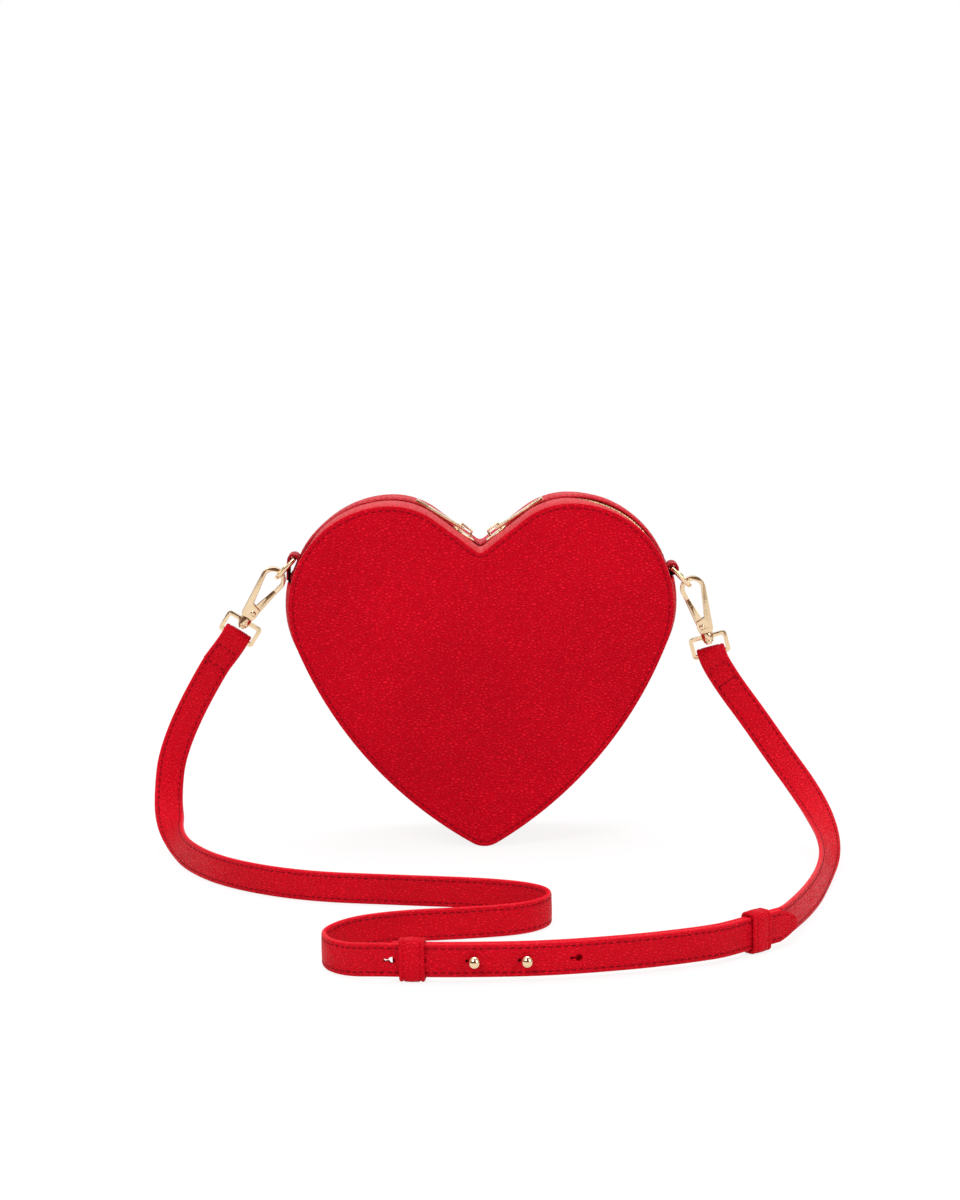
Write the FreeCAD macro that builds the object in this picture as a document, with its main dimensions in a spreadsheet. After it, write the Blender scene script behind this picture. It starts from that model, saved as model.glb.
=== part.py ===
import FreeCAD, Part
import math
import os

from FreeCAD import Placement, Rotation, Vector

doc = FreeCAD.newDocument("heart_purse")
sheet = doc.addObject("Spreadsheet::Sheet", "sizes")

# Driving sizes in millimetres and degrees
SIZES = [
    # Heart outline
    ("heart_width", 187.0),
    ("heart_height", 168.5),
    ("lobe_radius", 50.0),
    ("crown_radius", 36.0),
    ("side_radius", 198.0),
    ("tip_radius", 12.0),
    ("flank_angle", 37.5),
    ("cleft_radius", 3.0),
    # Bag shell
    ("bag_depth", 56.0),
    ("panel_leather", 1.6),
    ("gusset_leather", 1.6),
    ("strip_leather", 1.2),
    ("board", 1.6),
    ("lining", 0.6),
    ("seam_flange", 7.0),
    ("edge_inset", 0.4),
    ("fold_gap", 0.2),
    ("gusset_end_angle", 12.0),
    # Zip
    ("zip_mouth", 10.4),
    ("zip_tape", 0.6),
    ("tape_margin", 6.0),
    ("tooth_pitch", 2.9),
    ("tooth_length", 1.3),
    ("tooth_reach", 3.0),
    ("tooth_height", 2.2),
    ("teeth_from_cleft", 18.0),
    ("slider_from_cleft", 9.5),
    ("slider_length", 12.0),
    ("slider_width", 9.0),
    ("slider_plate", 1.0),
    ("slider_channel", 3.6),
    ("slider_slot", 1.2),
    ("bail_width", 2.4),
    ("bail_stock", 1.0),
    ("bail_height", 3.5),
    ("pull_length", 27.0),
    ("pull_width", 6.8),
    ("pull_neck", 5.0),
    ("pull_flare", 9.0),
    ("pull_stock", 1.4),
    ("pull_droop", 5.0),
    # Side tabs and rings
    ("left_tab_angle", 24.0),
    ("right_tab_angle", 15.7),
    ("tab_leather", 1.4),
    ("tab_width", 12.0),
    ("ring_stock", 2.2),
    ("ring_play", 0.6),
    ("ring_reach", 12.5),
    ("ring_angle", 44.0),
    # Clasps
    ("left_clasp_angle", 32.5),
    ("right_clasp_angle", 14.0),
    ("hook_eye_radius", 4.1),
    ("hook_eye_offset", 1.1),
    ("hook_nose", 6.0),
    ("hook_length", 25.0),
    ("hook_stock", 3.8),
    ("hook_wall", 2.2),
    ("gate_stock", 2.0),
    ("gate_width", 2.4),
    ("pivot_radius", 1.1),
    ("spring_stock", 0.3),
    ("shank_radius", 1.6),
    ("swivel_play", 0.2),
    ("boss_height", 3.5),
    ("boss_wall", 1.2),
    ("loop_stock", 2.0),
    ("loop_window", 7.0),
    # Strap
    ("strap_width", 14.0),
    ("strap_leather", 2.2),
    ("layer_gap", 0.2),
    ("strap_return", 18.0),
    ("keyhole_pitch", 21.0),
    ("keyhole_radius", 1.5),
    ("keyhole_slit", 3.2),
    ("slit_width", 0.8),
    ("stud_ball_radius", 2.5),
    ("stud_neck_radius", 1.3),
    ("stud_screw_radius", 0.8),
    ("stud_head_radius", 3.6),
    ("stud_head", 0.9),
    ("keeper_length", 10.5),
    ("keeper_leather", 1.4),
    ("keeper_play", 0.3),
]
for row, (alias, value) in enumerate(SIZES, start=1):
    sheet.set("A%d" % row, alias)
    sheet.set("B%d" % row, str(value))
    sheet.setAlias("B%d" % row, alias)
doc.recompute()


def size(alias):
    """Value of one driving size."""
    return float(sheet.get(alias))


EMPTY = Vector(0, 0, 0)
UP = Vector(0, 0, 1)
ACROSS = Vector(0, 1, 0)
SIDES = (("left", -1), ("right", 1))
parts = []


# Plane outlines as chains of lines and arcs

def line(start, end):
    return (start, end)


def arc(centre, radius, start_angle, end_angle):
    """Arc given by its start, middle and end points, angles in radians."""
    angles = (start_angle, (start_angle + end_angle) / 2, end_angle)
    return tuple((centre[0] + radius * math.cos(a), centre[1] + radius * math.sin(a)) for a in angles)


def reverse(chain):
    return [tuple(reversed(piece)) for piece in reversed(chain)]


def mirror(chain):
    return [tuple((-x, y) for x, y in piece) for piece in chain]


def polygon(corners):
    return [line(a, b) for a, b in zip(corners, corners[1:] + corners[:1])]


def rounded_box(left, right, low, high, radius):
    """Closed rectangle with four equal round corners."""
    quarter = math.pi / 2
    centres = ((right - radius, low + radius), (right - radius, high - radius),
               (left + radius, high - radius), (left + radius, low + radius))
    corners = [arc(c, radius, (k - 1) * quarter, k * quarter) for k, c in enumerate(centres)]
    chain = []
    for corner, following in zip(corners, corners[1:] + corners[:1]):
        chain += [corner, line(corner[-1], following[0])]
    return chain


def circle(centre, radius):
    """Closed circle in two arcs."""
    return [arc(centre, radius, 0, math.pi), arc(centre, radius, math.pi, 2 * math.pi)]


def geometry(chain):
    """Sketch geometry of a chain."""
    made = []
    for piece in chain:
        points = [Vector(x, y, 0) for x, y in piece]
        made.append(Part.Arc(*points) if len(points) == 3 else Part.LineSegment(*points))
    return made


class Heart:
    """Tangent arcs of the heart: tip, side, lobe and crown arcs, straight flank, cleft fillet."""

    def __init__(self):
        self.lobe = (size("heart_width") / 2 - size("lobe_radius"), size("heart_height") - size("lobe_radius"))
        self.crown = (self.lobe[0], size("heart_height") - size("crown_radius"))
        self.tip = (0.0, size("tip_radius"))
        # The side arc touches the lobe and the tip from outside both
        grow = size("side_radius") - size("lobe_radius")
        reach = size("side_radius") - size("tip_radius")
        span = math.dist(self.lobe, self.tip)
        lean = math.atan2(self.lobe[1] - self.tip[1], self.lobe[0] - self.tip[0])
        turn = math.acos((span ** 2 + grow ** 2 - reach ** 2) / (2 * grow * span))
        self.side_end = lean - turn
        self.side = (self.lobe[0] - grow * math.cos(self.side_end), self.lobe[1] - grow * math.sin(self.side_end))
        self.side_start = math.atan2(self.tip[1] - self.side[1], self.tip[0] - self.side[0])
        self.slope = math.radians(size("flank_angle"))
        self.end = math.radians(size("gusset_end_angle"))
        # The cleft fillet stands on the axis, its radius off the flank
        foot_x = self.crown[0] - size("crown_radius") * math.sin(self.slope)
        foot_z = self.crown[1] + size("crown_radius") * math.cos(self.slope)
        rise = (size("cleft_radius") - foot_x * math.sin(self.slope)) / math.cos(self.slope)
        self.cleft = (0.0, foot_z + rise)

    def low(self, inset):
        """Right side from the tip up to the end of the lower gusset."""
        return [arc(self.tip, size("tip_radius") - inset, -math.pi / 2, self.side_start),
                arc(self.side, size("side_radius") - inset, self.side_start, self.side_end),
                arc(self.lobe, size("lobe_radius") - inset, self.side_end, self.end)]

    def high(self, inset):
        """Right side from the end of the lower gusset over the lobe to the cleft."""
        crown_end = math.pi / 2 + self.slope
        crown = arc(self.crown, size("crown_radius") - inset, math.pi / 2, crown_end)
        cleft = arc(self.cleft, size("cleft_radius") + inset, self.slope - math.pi / 2, -math.pi / 2)
        return [arc(self.lobe, size("lobe_radius") - inset, self.end, math.pi / 2),
                crown, line(crown[-1], cleft[0]), cleft]

    def outline(self, inset):
        right = self.low(inset) + self.high(inset)
        return right + reverse(mirror(right))

    def low_run(self, inset):
        right = self.low(inset)
        return reverse(mirror(right)) + right

    def high_run(self, inset):
        right = self.high(inset)
        return right + reverse(mirror(right))

    def band(self, run, outer, inner):
        """Closed band between two insets of a run."""
        there = run(outer)
        back = reverse(run(inner))
        return there + [line(there[-1][-1], back[0][0])] + back + [line(back[-1][-1], there[0][0])]

    def on_flank(self, inset, from_cleft):
        """Point of the right flank at a distance from the axis, inset square to it."""
        base = (self.cleft[1] - (size("cleft_radius") + inset) / math.cos(self.slope))
        return (from_cleft, base + from_cleft * math.tan(self.slope))


heart = Heart()


# Document helpers

def add_body(label):
    body = doc.addObject("PartDesign::Body", label)
    body.Label = label
    parts.append(body)
    return body


def add_sketch(body, plane, chains, offset=None):
    """Sketch of closed chains on one of the body's own origin planes, lifted off it by an expression."""
    sketch = body.newObject("Sketcher::SketchObject", body.Name + "_outline")
    origin_plane = [f for f in body.Origin.OriginFeatures if f.Role == plane][0]
    sketch.AttachmentSupport = [(origin_plane, "")]
    sketch.MapMode = "FlatFace"
    for chain in chains:
        sketch.addGeometry(geometry(chain))
    if offset:
        sketch.setExpression("AttachmentOffset.Base.z", offset)
    return sketch


def pad(body, plane, chains, length, offset=None, both_ways=False):
    """Pad closed chains by a length expression, along the plane's normal or both ways from it."""
    feature = body.newObject("PartDesign::Pad", body.Name + "_pad")
    feature.Profile = add_sketch(body, plane, chains, offset)
    feature.SideType = "Symmetric" if both_ways else "One side"
    feature.setExpression("Length", length)
    return feature


def pocket(body, plane, chains, length):
    """Cut closed chains both ways from the plane, and make sure that the cut took something away."""
    doc.recompute()
    before = body.Shape.Volume
    feature = body.newObject("PartDesign::Pocket", body.Name + "_pocket")
    feature.Profile = add_sketch(body, plane, chains)
    feature.SideType = "Symmetric"
    feature.setExpression("Length", length)
    doc.recompute()
    if body.Shape.Volume >= before:
        raise RuntimeError(body.Label + ": the pocket cut nothing")
    return feature


def add_cylinder(body, kind, radius, height, centre, axis):
    """Round feature of a body: its radius, height and foot are expressions."""
    feature = body.newObject("PartDesign::" + kind, body.Name + "_round")
    feature.setExpression("Radius", radius)
    feature.setExpression("Height", height)
    feature.Placement = Placement(centre, Rotation(UP, axis))
    return feature


def soften(body, feature, width, chosen):
    """Break the chosen edges of a body's last feature, by a width expression."""
    doc.recompute()
    names = ["Edge%d" % k for k, edge in enumerate(feature.Shape.Edges, start=1) if chosen(edge)]
    chamfer = body.newObject("PartDesign::Chamfer", body.Name + "_edges")
    chamfer.Base = (feature, names)
    chamfer.setExpression("Size", width)
    return chamfer


def add_shape(label, shape, placement=None):
    feature = doc.addObject("Part::Feature", label)
    feature.Label = label
    feature.Shape = shape
    if placement:
        feature.Placement = placement
    parts.append(feature)
    return feature


def tilted(origin, degrees):
    """Placement turned about the depth axis."""
    return Placement(Vector(*origin), Rotation(ACROSS, degrees))


# Leather panels, boards and linings, front and back
# A sketch on the XZ plane pads towards the front, so each body starts at its rear face

def add_sheet(label, inset, thickness, rear):
    body = add_body(label)
    pad(body, "XZ_Plane", [heart.outline(inset)], thickness)
    body.setExpression("Placement.Base.y", rear)
    return body


FRONT_FACE = "sizes.bag_depth / 2"
inner_inset = size("edge_inset") + size("gusset_leather") + size("fold_gap")
board_inset = size("edge_inset") + size("seam_flange") + size("fold_gap")
add_sheet("front_panel", 0.0, "sizes.panel_leather", "sizes.panel_leather - sizes.bag_depth / 2")
add_sheet("back_panel", 0.0, "sizes.panel_leather", FRONT_FACE)
add_sheet("front_board", board_inset, "sizes.board",
          "sizes.panel_leather + sizes.board - sizes.bag_depth / 2")
add_sheet("back_board", board_inset, "sizes.board", FRONT_FACE + " - sizes.panel_leather")
add_sheet("front_lining", inner_inset, "sizes.lining",
          "sizes.panel_leather + sizes.board + sizes.lining - sizes.bag_depth / 2")
add_sheet("back_lining", inner_inset, "sizes.lining", FRONT_FACE + " - sizes.panel_leather - sizes.board")


# Lower gusset with its two turned flanges, and its lining

def add_flange(body, run, thickness, rear):
    """Seam allowance turned in behind a panel."""
    inner = size("edge_inset") + size("seam_flange")
    pad(body, "XZ_Plane", [heart.band(run, size("edge_inset"), inner)], thickness, rear)


# Offsets of these sketches count towards the front
PANEL_BACK = "(sizes.bag_depth / 2 - sizes.panel_leather)"
gusset = add_body("lower_gusset")
gusset_inner = size("edge_inset") + size("gusset_leather")
pad(gusset, "XZ_Plane", [heart.band(heart.low_run, size("edge_inset"), gusset_inner)],
    "2 * " + PANEL_BACK, both_ways=True)
add_flange(gusset, heart.low_run, "sizes.board", PANEL_BACK + " - sizes.board")
add_flange(gusset, heart.low_run, "sizes.board", "-" + PANEL_BACK)

LINING_FACE = "(sizes.bag_depth / 2 - sizes.panel_leather - sizes.board - sizes.lining - sizes.fold_gap)"
gusset_lining = add_body("gusset_lining")
pad(gusset_lining, "XZ_Plane",
    [heart.band(heart.low_run, inner_inset, inner_inset + size("lining"))],
    "2 * " + LINING_FACE, both_ways=True)


# Upper gusset in two halves with the zip tapes beneath their edges

strip_inner = size("edge_inset") + size("strip_leather")
tape_inner = strip_inner + size("zip_tape")
chain_inset = strip_inner + size("zip_tape") / 2
STRIP_DEPTH = PANEL_BACK + " - sizes.zip_mouth / 2"
TAPE_DEPTH = "sizes.zip_mouth / 2 + sizes.tape_margin - sizes.tooth_reach / 2"
for end, toward in (("front", 1), ("back", -1)):
    strip = add_body("zip_strip_" + end)
    start = "sizes.zip_mouth / 2" if toward > 0 else "-" + PANEL_BACK
    pad(strip, "XZ_Plane", [heart.band(heart.high_run, size("edge_inset"), strip_inner)], STRIP_DEPTH, start)
    seat = PANEL_BACK + " - sizes.board" if toward > 0 else "-" + PANEL_BACK
    add_flange(strip, heart.high_run, "sizes.board", seat)
    tape = add_body("zip_tape_" + end)
    start = "sizes.tooth_reach / 2" if toward > 0 else "-sizes.zip_mouth / 2 - sizes.tape_margin"
    pad(tape, "XZ_Plane", [heart.band(heart.high_run, strip_inner, tape_inner)], TAPE_DEPTH, start)


# Zip teeth: clamped on each tape edge, the two rows half a pitch apart

def chain_points(pitch, phase):
    """Places along the right zip line from the gusset's end to where the slider rests."""
    edges = [g.toShape() for g in geometry(heart.high(chain_inset))]
    stop = size("teeth_from_cleft")
    run = sum(edge.Length for edge in edges) - stop
    places = []
    walked = pitch / 2 + phase
    while walked < run:
        left = walked
        for edge in edges:
            if left <= edge.Length:
                at = edge.getParameterByLength(left)
                point, tangent = edge.valueAt(at), edge.tangentAt(at)
                places.append((point.x, point.y, math.atan2(tangent.y, tangent.x)))
                break
            left -= edge.Length
        walked += pitch
    return places


def tooth(toward):
    """One tooth: a jaw astride the tape edge and a narrower nose that reaches between its neighbours."""
    length, reach, height = size("tooth_length"), size("tooth_reach"), size("tooth_height")
    tip = -reach / 2 + size("fold_gap")
    nose = Part.makeBox(length, reach / 2 - tip, height * 0.7, Vector(-length / 2, tip, -height * 0.35))
    jaw_box = Part.makeBox(length, reach * 0.6, height, Vector(-length / 2, reach / 2, -height / 2))
    slack = size("zip_tape") + size("fold_gap") / 2
    grip = Part.makeBox(length, reach * 0.6, slack, Vector(-length / 2, reach / 2, -slack / 2))
    whole = nose.fuse(jaw_box).cut(grip).removeSplitter()
    if toward > 0:
        whole.rotate(EMPTY, UP, 180)
    return whole


def add_teeth(label, toward, phase):
    model = tooth(toward)
    made = []
    for x, z, heading in chain_points(size("tooth_pitch"), phase):
        for side in (1, -1):
            copy = model.copy()
            copy.Placement = Placement(Vector(side * x, 0, z), Rotation(ACROSS, -side * math.degrees(heading)))
            made.append(copy)
    add_shape(label, Part.makeCompound(made))


add_teeth("zip_teeth_front", 1, 0.0)
add_teeth("zip_teeth_back", -1, size("tooth_pitch") / 2)


# Sliders and their pulls
# Local axes: X along the zip away from the cleft, Y across it, Z out of the bag

channel = size("slider_channel") / 2
plate_top = channel + size("slider_plate")
bail_top = plate_top + size("bail_height")
bail_foot = size("slider_length") / 2 - 2.0
pull_axis = (bail_foot - size("bail_stock") - size("pull_stock"), plate_top + (bail_top - plate_top) * 0.4)


def plate_outline(side):
    """Shield seen from above: wide shoulders towards the cleft, rounded tail."""
    half = size("slider_width") / 2
    nose, tail = -size("slider_length") / 2, size("slider_length") / 2
    corners = [(nose, -half * 0.75), (nose + 2.0, -half), (tail - 2.0, -half), (tail, -half * 0.6),
               (tail, half * 0.6), (tail - 2.0, half), (nose + 2.0, half), (nose, half * 0.75)]
    return polygon([(side * x, y) for x, y in corners])


def add_slider(label, side, placement):
    body = add_body(label)
    half = size("slider_width") / 2
    nose, tail = -size("slider_length") / 2, size("slider_length") / 2
    pad(body, "XY_Plane", [plate_outline(side)], "sizes.slider_plate",
        "-sizes.slider_channel / 2 - sizes.slider_plate")
    post = [(side * x, y) for x, y in rounded_points(nose + 0.8, nose + 3.2, 0.8)]
    pad(body, "XY_Plane", [polygon(post)], "sizes.slider_channel", "-sizes.slider_channel / 2")
    pad(body, "XY_Plane", [plate_outline(side)], "sizes.slider_plate", "sizes.slider_channel / 2")
    lips = []
    for edge in (-half, half - 0.8):
        lips.append(polygon([(side * (nose + 2.0), edge), (side * (tail - 2.0), edge),
                             (side * (tail - 2.0), edge + 0.8), (side * (nose + 2.0), edge + 0.8)]))
    lip_height = "(sizes.slider_channel - sizes.slider_slot) / 2"
    pad(body, "XY_Plane", lips, lip_height, "sizes.slider_slot / 2")
    pad(body, "XY_Plane", lips, lip_height, "-sizes.slider_channel / 2")
    rise = [(-bail_foot, plate_top), (-bail_foot + 1.0, bail_top), (bail_foot, bail_top), (bail_foot, plate_top),
            (bail_foot - size("bail_stock"), plate_top), (bail_foot - size("bail_stock"), bail_top - size("bail_stock")),
            (-bail_foot + 1.8, bail_top - size("bail_stock")), (-bail_foot + 1.2, plate_top)]
    pad(body, "XZ_Plane", [polygon([(side * x, z) for x, z in rise])], "sizes.bail_width", both_ways=True)
    body.Placement = placement


def rounded_points(start, end, half):
    """Diamond-ended bar seen from above."""
    return [(start, 0.0), (start + half, -half), (end - half, -half), (end, 0.0), (end - half, half), (start + half, half)]


def add_pull(label, side, placement):
    """Flat pull: a window that the bail passes through, a flare, and a framed end."""
    body = add_body(label)
    bar = size("pull_stock") / 2
    throat = bar + size("bail_stock") + size("pull_stock") + size("swivel_play") * 2
    end = size("pull_length")
    neck, wide = size("pull_neck") / 2, size("pull_width") / 2
    flare = end - size("pull_flare")
    blade = [(0.0, -neck), (throat + 3.0, -neck), (flare, -wide), (end, -wide),
             (end, wide), (flare, wide), (throat + 3.0, neck), (0.0, neck)]
    eye = (size("bail_width") + size("slider_slot")) / 2
    window = [(bar, -eye), (throat, -eye), (throat, eye), (bar, eye)]
    frame = wide - 1.6
    chains = [polygon(blade), polygon(window), rounded_box(end - 7.6, end - 1.6, -frame, frame, 0.6)]
    chains = [[tuple((side * x, y) for x, y in piece) for piece in chain] for chain in chains]
    pad(body, "XY_Plane", chains, "sizes.pull_stock", both_ways=True)
    add_cylinder(body, "AdditiveCylinder", "sizes.pull_stock / 2", "sizes.pull_neck", Vector(0, -neck, 0), ACROSS)
    droop = Rotation(ACROSS, side * size("pull_droop"))
    body.Placement = placement.multiply(Placement(Vector(side * pull_axis[0], 0, pull_axis[1]), droop))


for name, side in SIDES:
    x, z = heart.on_flank(chain_inset, size("slider_from_cleft"))
    seat = tilted((side * x, 0, z), -side * size("flank_angle"))
    add_slider(name + "_slider", side, seat)
    add_pull(name + "_pull", side, seat)


# Side tabs: a leather strip folded round the ring's bar

ring_half = size("ring_stock") / 2
tab_eye = ring_half + size("ring_play")
tab_outer = tab_eye + size("tab_leather")
eye_reach = size("lobe_radius") - size("edge_inset") + tab_outer + size("fold_gap") / 2
eye_place = {}
tab_foot = {}
for name, side in SIDES:
    angle = math.radians(size(name + "_tab_angle"))
    eye_place[name] = (side * (heart.lobe[0] + eye_reach * math.cos(angle)), 0,
                       heart.lobe[1] + eye_reach * math.sin(angle))
    tab_foot[name] = size("lobe_radius") * (angle - heart.end) - size("fold_gap")


def tab_chains(side, foot):
    """Outer loop and teardrop eye, local X out of the bag and Y up along its edge."""
    meet = (-tab_eye, size("tab_leather") * 0.6 - foot)
    # The outer layer leaves the fold along the second tangent from where the layers meet
    leave = 2 * math.atan2(meet[1], meet[0]) + math.pi
    crest = (tab_outer * math.cos(leave), tab_outer * math.sin(leave))
    slide = (crest[1] + foot) / math.cos(leave)
    toe = (crest[0] + slide * math.sin(leave), -foot)
    outer = [line((-tab_outer, -foot), (-tab_outer, 0.0)), arc((0, 0), tab_outer, math.pi, leave),
             line(crest, toe), line(toe, (-tab_outer, -foot))]
    brow = arc((0, 0), tab_eye, math.pi, leave)
    eye = [brow, line(brow[-1], meet), line(meet, (-tab_eye, 0.0))]
    return [outer, eye] if side > 0 else [mirror(outer), mirror(eye)]


# Rings: flat stock bent to a D, straight bar in the tab

def ring_chains():
    """Ring seen square on: the bar at the origin, the half-round bow below it."""
    inner = size("tab_width") / 2 + size("ring_play")
    outer = inner + size("ring_stock")
    centre = (0.0, outer - size("ring_reach") - ring_half)
    outside = [line((outer, centre[1]), (outer, ring_half)), line((outer, ring_half), (-outer, ring_half)),
               line((-outer, ring_half), (-outer, centre[1])), arc(centre, outer, -math.pi, 0)]
    inside = [line((inner, centre[1]), (inner, -ring_half)), line((inner, -ring_half), (-inner, -ring_half)),
              line((-inner, -ring_half), (-inner, centre[1])), arc(centre, inner, -math.pi, 0)]
    return [outside, inside]


for name, side in SIDES:
    tab = add_body(name + "_tab")
    pad(tab, "XZ_Plane", tab_chains(side, tab_foot[name]), "sizes.tab_width", both_ways=True)
    tab.Placement = tilted(eye_place[name], -side * size(name + "_tab_angle"))
    ring = add_body(name + "_d_ring")
    body_pad = pad(ring, "YZ_Plane", ring_chains(), "sizes.ring_stock", both_ways=True)
    soften(ring, body_pad, "sizes.ring_stock * 0.2", lambda edge: abs(edge.tangentAt(edge.FirstParameter).x) < 0.5)
    ring.Placement = tilted(eye_place[name], -side * size("ring_angle"))


# Swivel clasps
# Local axes: origin on the swivel axis, level with the ring's bow, X away from the bag, Z up

hook_gap = ring_half * math.sqrt(2) + size("ring_play")
eye_x = -size("hook_eye_offset")
eye_z = hook_gap - size("hook_eye_radius")
hook_outer = size("hook_eye_radius") + size("hook_wall")
hook_foot = size("hook_length")
base_half = 3.4
pivot = (-1.5, 3.6 - hook_foot)
slot_wall = 1.8
slot_floor = 1.2 - hook_foot
slot_top = 10.5 - hook_foot
gate_foot = (-base_half - 0.4, 6.4 - hook_foot)
# The nose and the gate meet on a slope that follows the gate's swing
NOSE_SLOPE = 0.28


def gate_line(z):
    """Outer edge of the nose and the gate, straight from the crown to the base."""
    share = (eye_z - z) / (eye_z - gate_foot[1])
    return eye_x - hook_outer + share * (gate_foot[0] - eye_x + hook_outer)


def hook_outline():
    """Cast hook seen square on: crown, tapering spine, flared base, and a nose that slopes to the gate."""
    eye, outer, nose = size("hook_eye_radius"), hook_outer, -size("hook_nose")
    crown = arc((eye_x, eye_z), outer, math.pi, 0)
    inside = arc((eye_x, eye_z), eye, 0, math.pi)
    throat = (0.8, 7.8 - hook_foot)
    shoulder = (base_half + 0.4, 2.2 - hook_foot)
    corners = [crown[-1], shoulder, (base_half - 0.4, -hook_foot), (0.4 - base_half, -hook_foot),
               (-base_half - 0.4, 2.2 - hook_foot), gate_foot, throat, inside[0]]
    spine = [line(a, b) for a, b in zip(corners, corners[1:])]
    low = nose - NOSE_SLOPE * size("hook_wall")
    nose_tip = [inside[-1], (gate_line(nose) + size("hook_wall"), nose), (gate_line(low), low), crown[0]]
    return [crown] + spine + [inside] + [line(a, b) for a, b in zip(nose_tip, nose_tip[1:])]


def gate_outline():
    """Gate lever from the pivot up to the nose, with a round tail."""
    tail = size("pivot_radius") + 1.1
    top = -size("hook_nose") - 1.5 * size("swivel_play")
    low = top - NOSE_SLOPE * size("gate_width")
    outer, inner = gate_line(low), gate_line(top) + size("gate_width")
    return [arc(pivot, tail, -math.pi, 0), line((pivot[0] + tail, pivot[1]), (inner, top)),
            line((inner, top), (outer, low)), line((outer, low), (pivot[0] - tail, pivot[1]))]


def spring_outline():
    """Leaf spring between the slot's end wall and the gate."""
    foot = slot_floor + 0.2
    tip = pivot[1] + 4.0
    thick = size("spring_stock")
    lean = pivot[0] + 1.7
    return polygon([(slot_wall - 0.2 - thick, foot), (slot_wall - 0.2, foot), (lean + thick, tip), (lean, tip)])


def flip(chain, side):
    return chain if side > 0 else mirror(chain)


BOSS_GAP = size("swivel_play")
boss_low = -hook_foot - BOSS_GAP - size("boss_height")
bar_centre = -hook_foot - BOSS_GAP - size("boss_height") / 2
window_top = bar_centre - size("loop_stock") / 2
strap_bar = window_top - size("loop_window") - size("loop_stock") / 2
loop_half = size("strap_width") / 2 + size("ring_play")


def add_clasp(name, side, placement):
    hook = add_body(name + "_hook")
    pad(hook, "XZ_Plane", [flip(hook_outline(), side)], "sizes.hook_stock", both_ways=True)
    add_cylinder(hook, "AdditiveCylinder", "sizes.shank_radius",
                 "sizes.boss_height + 2 * sizes.swivel_play + 0.2", Vector(0, 0, boss_low - BOSS_GAP), UP)
    add_cylinder(hook, "AdditiveCylinder", "sizes.shank_radius + 0.9", "1",
                 Vector(0, 0, boss_low - BOSS_GAP - 1.0), UP)
    add_cylinder(hook, "AdditiveCylinder", "sizes.shank_radius + 0.1", "1",
                 Vector(0, 0, boss_low - BOSS_GAP - 2.0), UP)
    slot = polygon([(-hook_outer, slot_floor), (slot_wall, slot_floor), (slot_wall, slot_top),
                    (-hook_outer, slot_top)])
    pocket(hook, "XZ_Plane", [flip(slot, side)], "sizes.gate_stock + 2 * sizes.swivel_play")
    pocket(hook, "XZ_Plane", [flip(circle(pivot, size("pivot_radius")), side)], "sizes.hook_stock + 2")
    gate = add_body(name + "_gate")
    bore = circle(pivot, size("pivot_radius") + size("swivel_play"))
    pad(gate, "XZ_Plane", [flip(gate_outline(), side), flip(bore, side)], "sizes.gate_stock", both_ways=True)
    pin = add_body(name + "_gate_pin")
    pad(pin, "XZ_Plane", [flip(circle(pivot, size("pivot_radius")), side)], "sizes.hook_stock", both_ways=True)
    spring = add_body(name + "_gate_spring")
    pad(spring, "XZ_Plane", [flip(spring_outline(), side)], "sizes.gate_stock - 2 * sizes.swivel_play", both_ways=True)
    loop = add_body(name + "_strap_loop")
    stock = size("loop_stock")
    frame = [rounded_box(-loop_half - stock, loop_half + stock, strap_bar - stock / 2, window_top + stock, stock),
             rounded_box(-loop_half, loop_half, strap_bar + stock / 2, window_top, stock * 0.4)]
    pad(loop, "XZ_Plane", frame, "sizes.loop_stock", both_ways=True)
    add_cylinder(loop, "AdditiveCylinder", "sizes.shank_radius + sizes.swivel_play + sizes.boss_wall",
                 "sizes.boss_height", Vector(0, 0, boss_low), UP)
    add_cylinder(loop, "SubtractiveCylinder", "sizes.shank_radius + sizes.swivel_play",
                 "sizes.boss_height", Vector(0, 0, boss_low), UP)
    for body in (hook, gate, pin, spring, loop):
        body.Placement = placement


clasp_seat = {}
for name, side in SIDES:
    lean = math.radians(size("ring_angle"))
    eye_x_at, _, eye_z_at = eye_place[name]
    bow = (eye_x_at + side * size("ring_reach") * math.sin(lean), 0, eye_z_at - size("ring_reach") * math.cos(lean))
    # The ring's bow lies towards the nose, off the swivel axis
    at_bow = tilted(bow, -side * size(name + "_clasp_angle"))
    clasp_seat[name] = at_bow.multiply(Placement(Vector(-2 * side * eye_x, 0, 0), Rotation()))
    add_clasp(name, side, clasp_seat[name])


# Strap: two ribbons of folded leather that run along the floor in front of the bag

floor_z = size("strap_width") / 2 + 0.2
keeper_z = size("strap_width") / 2 + size("keeper_leather") + size("keeper_play") + size("fold_gap")

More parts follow.
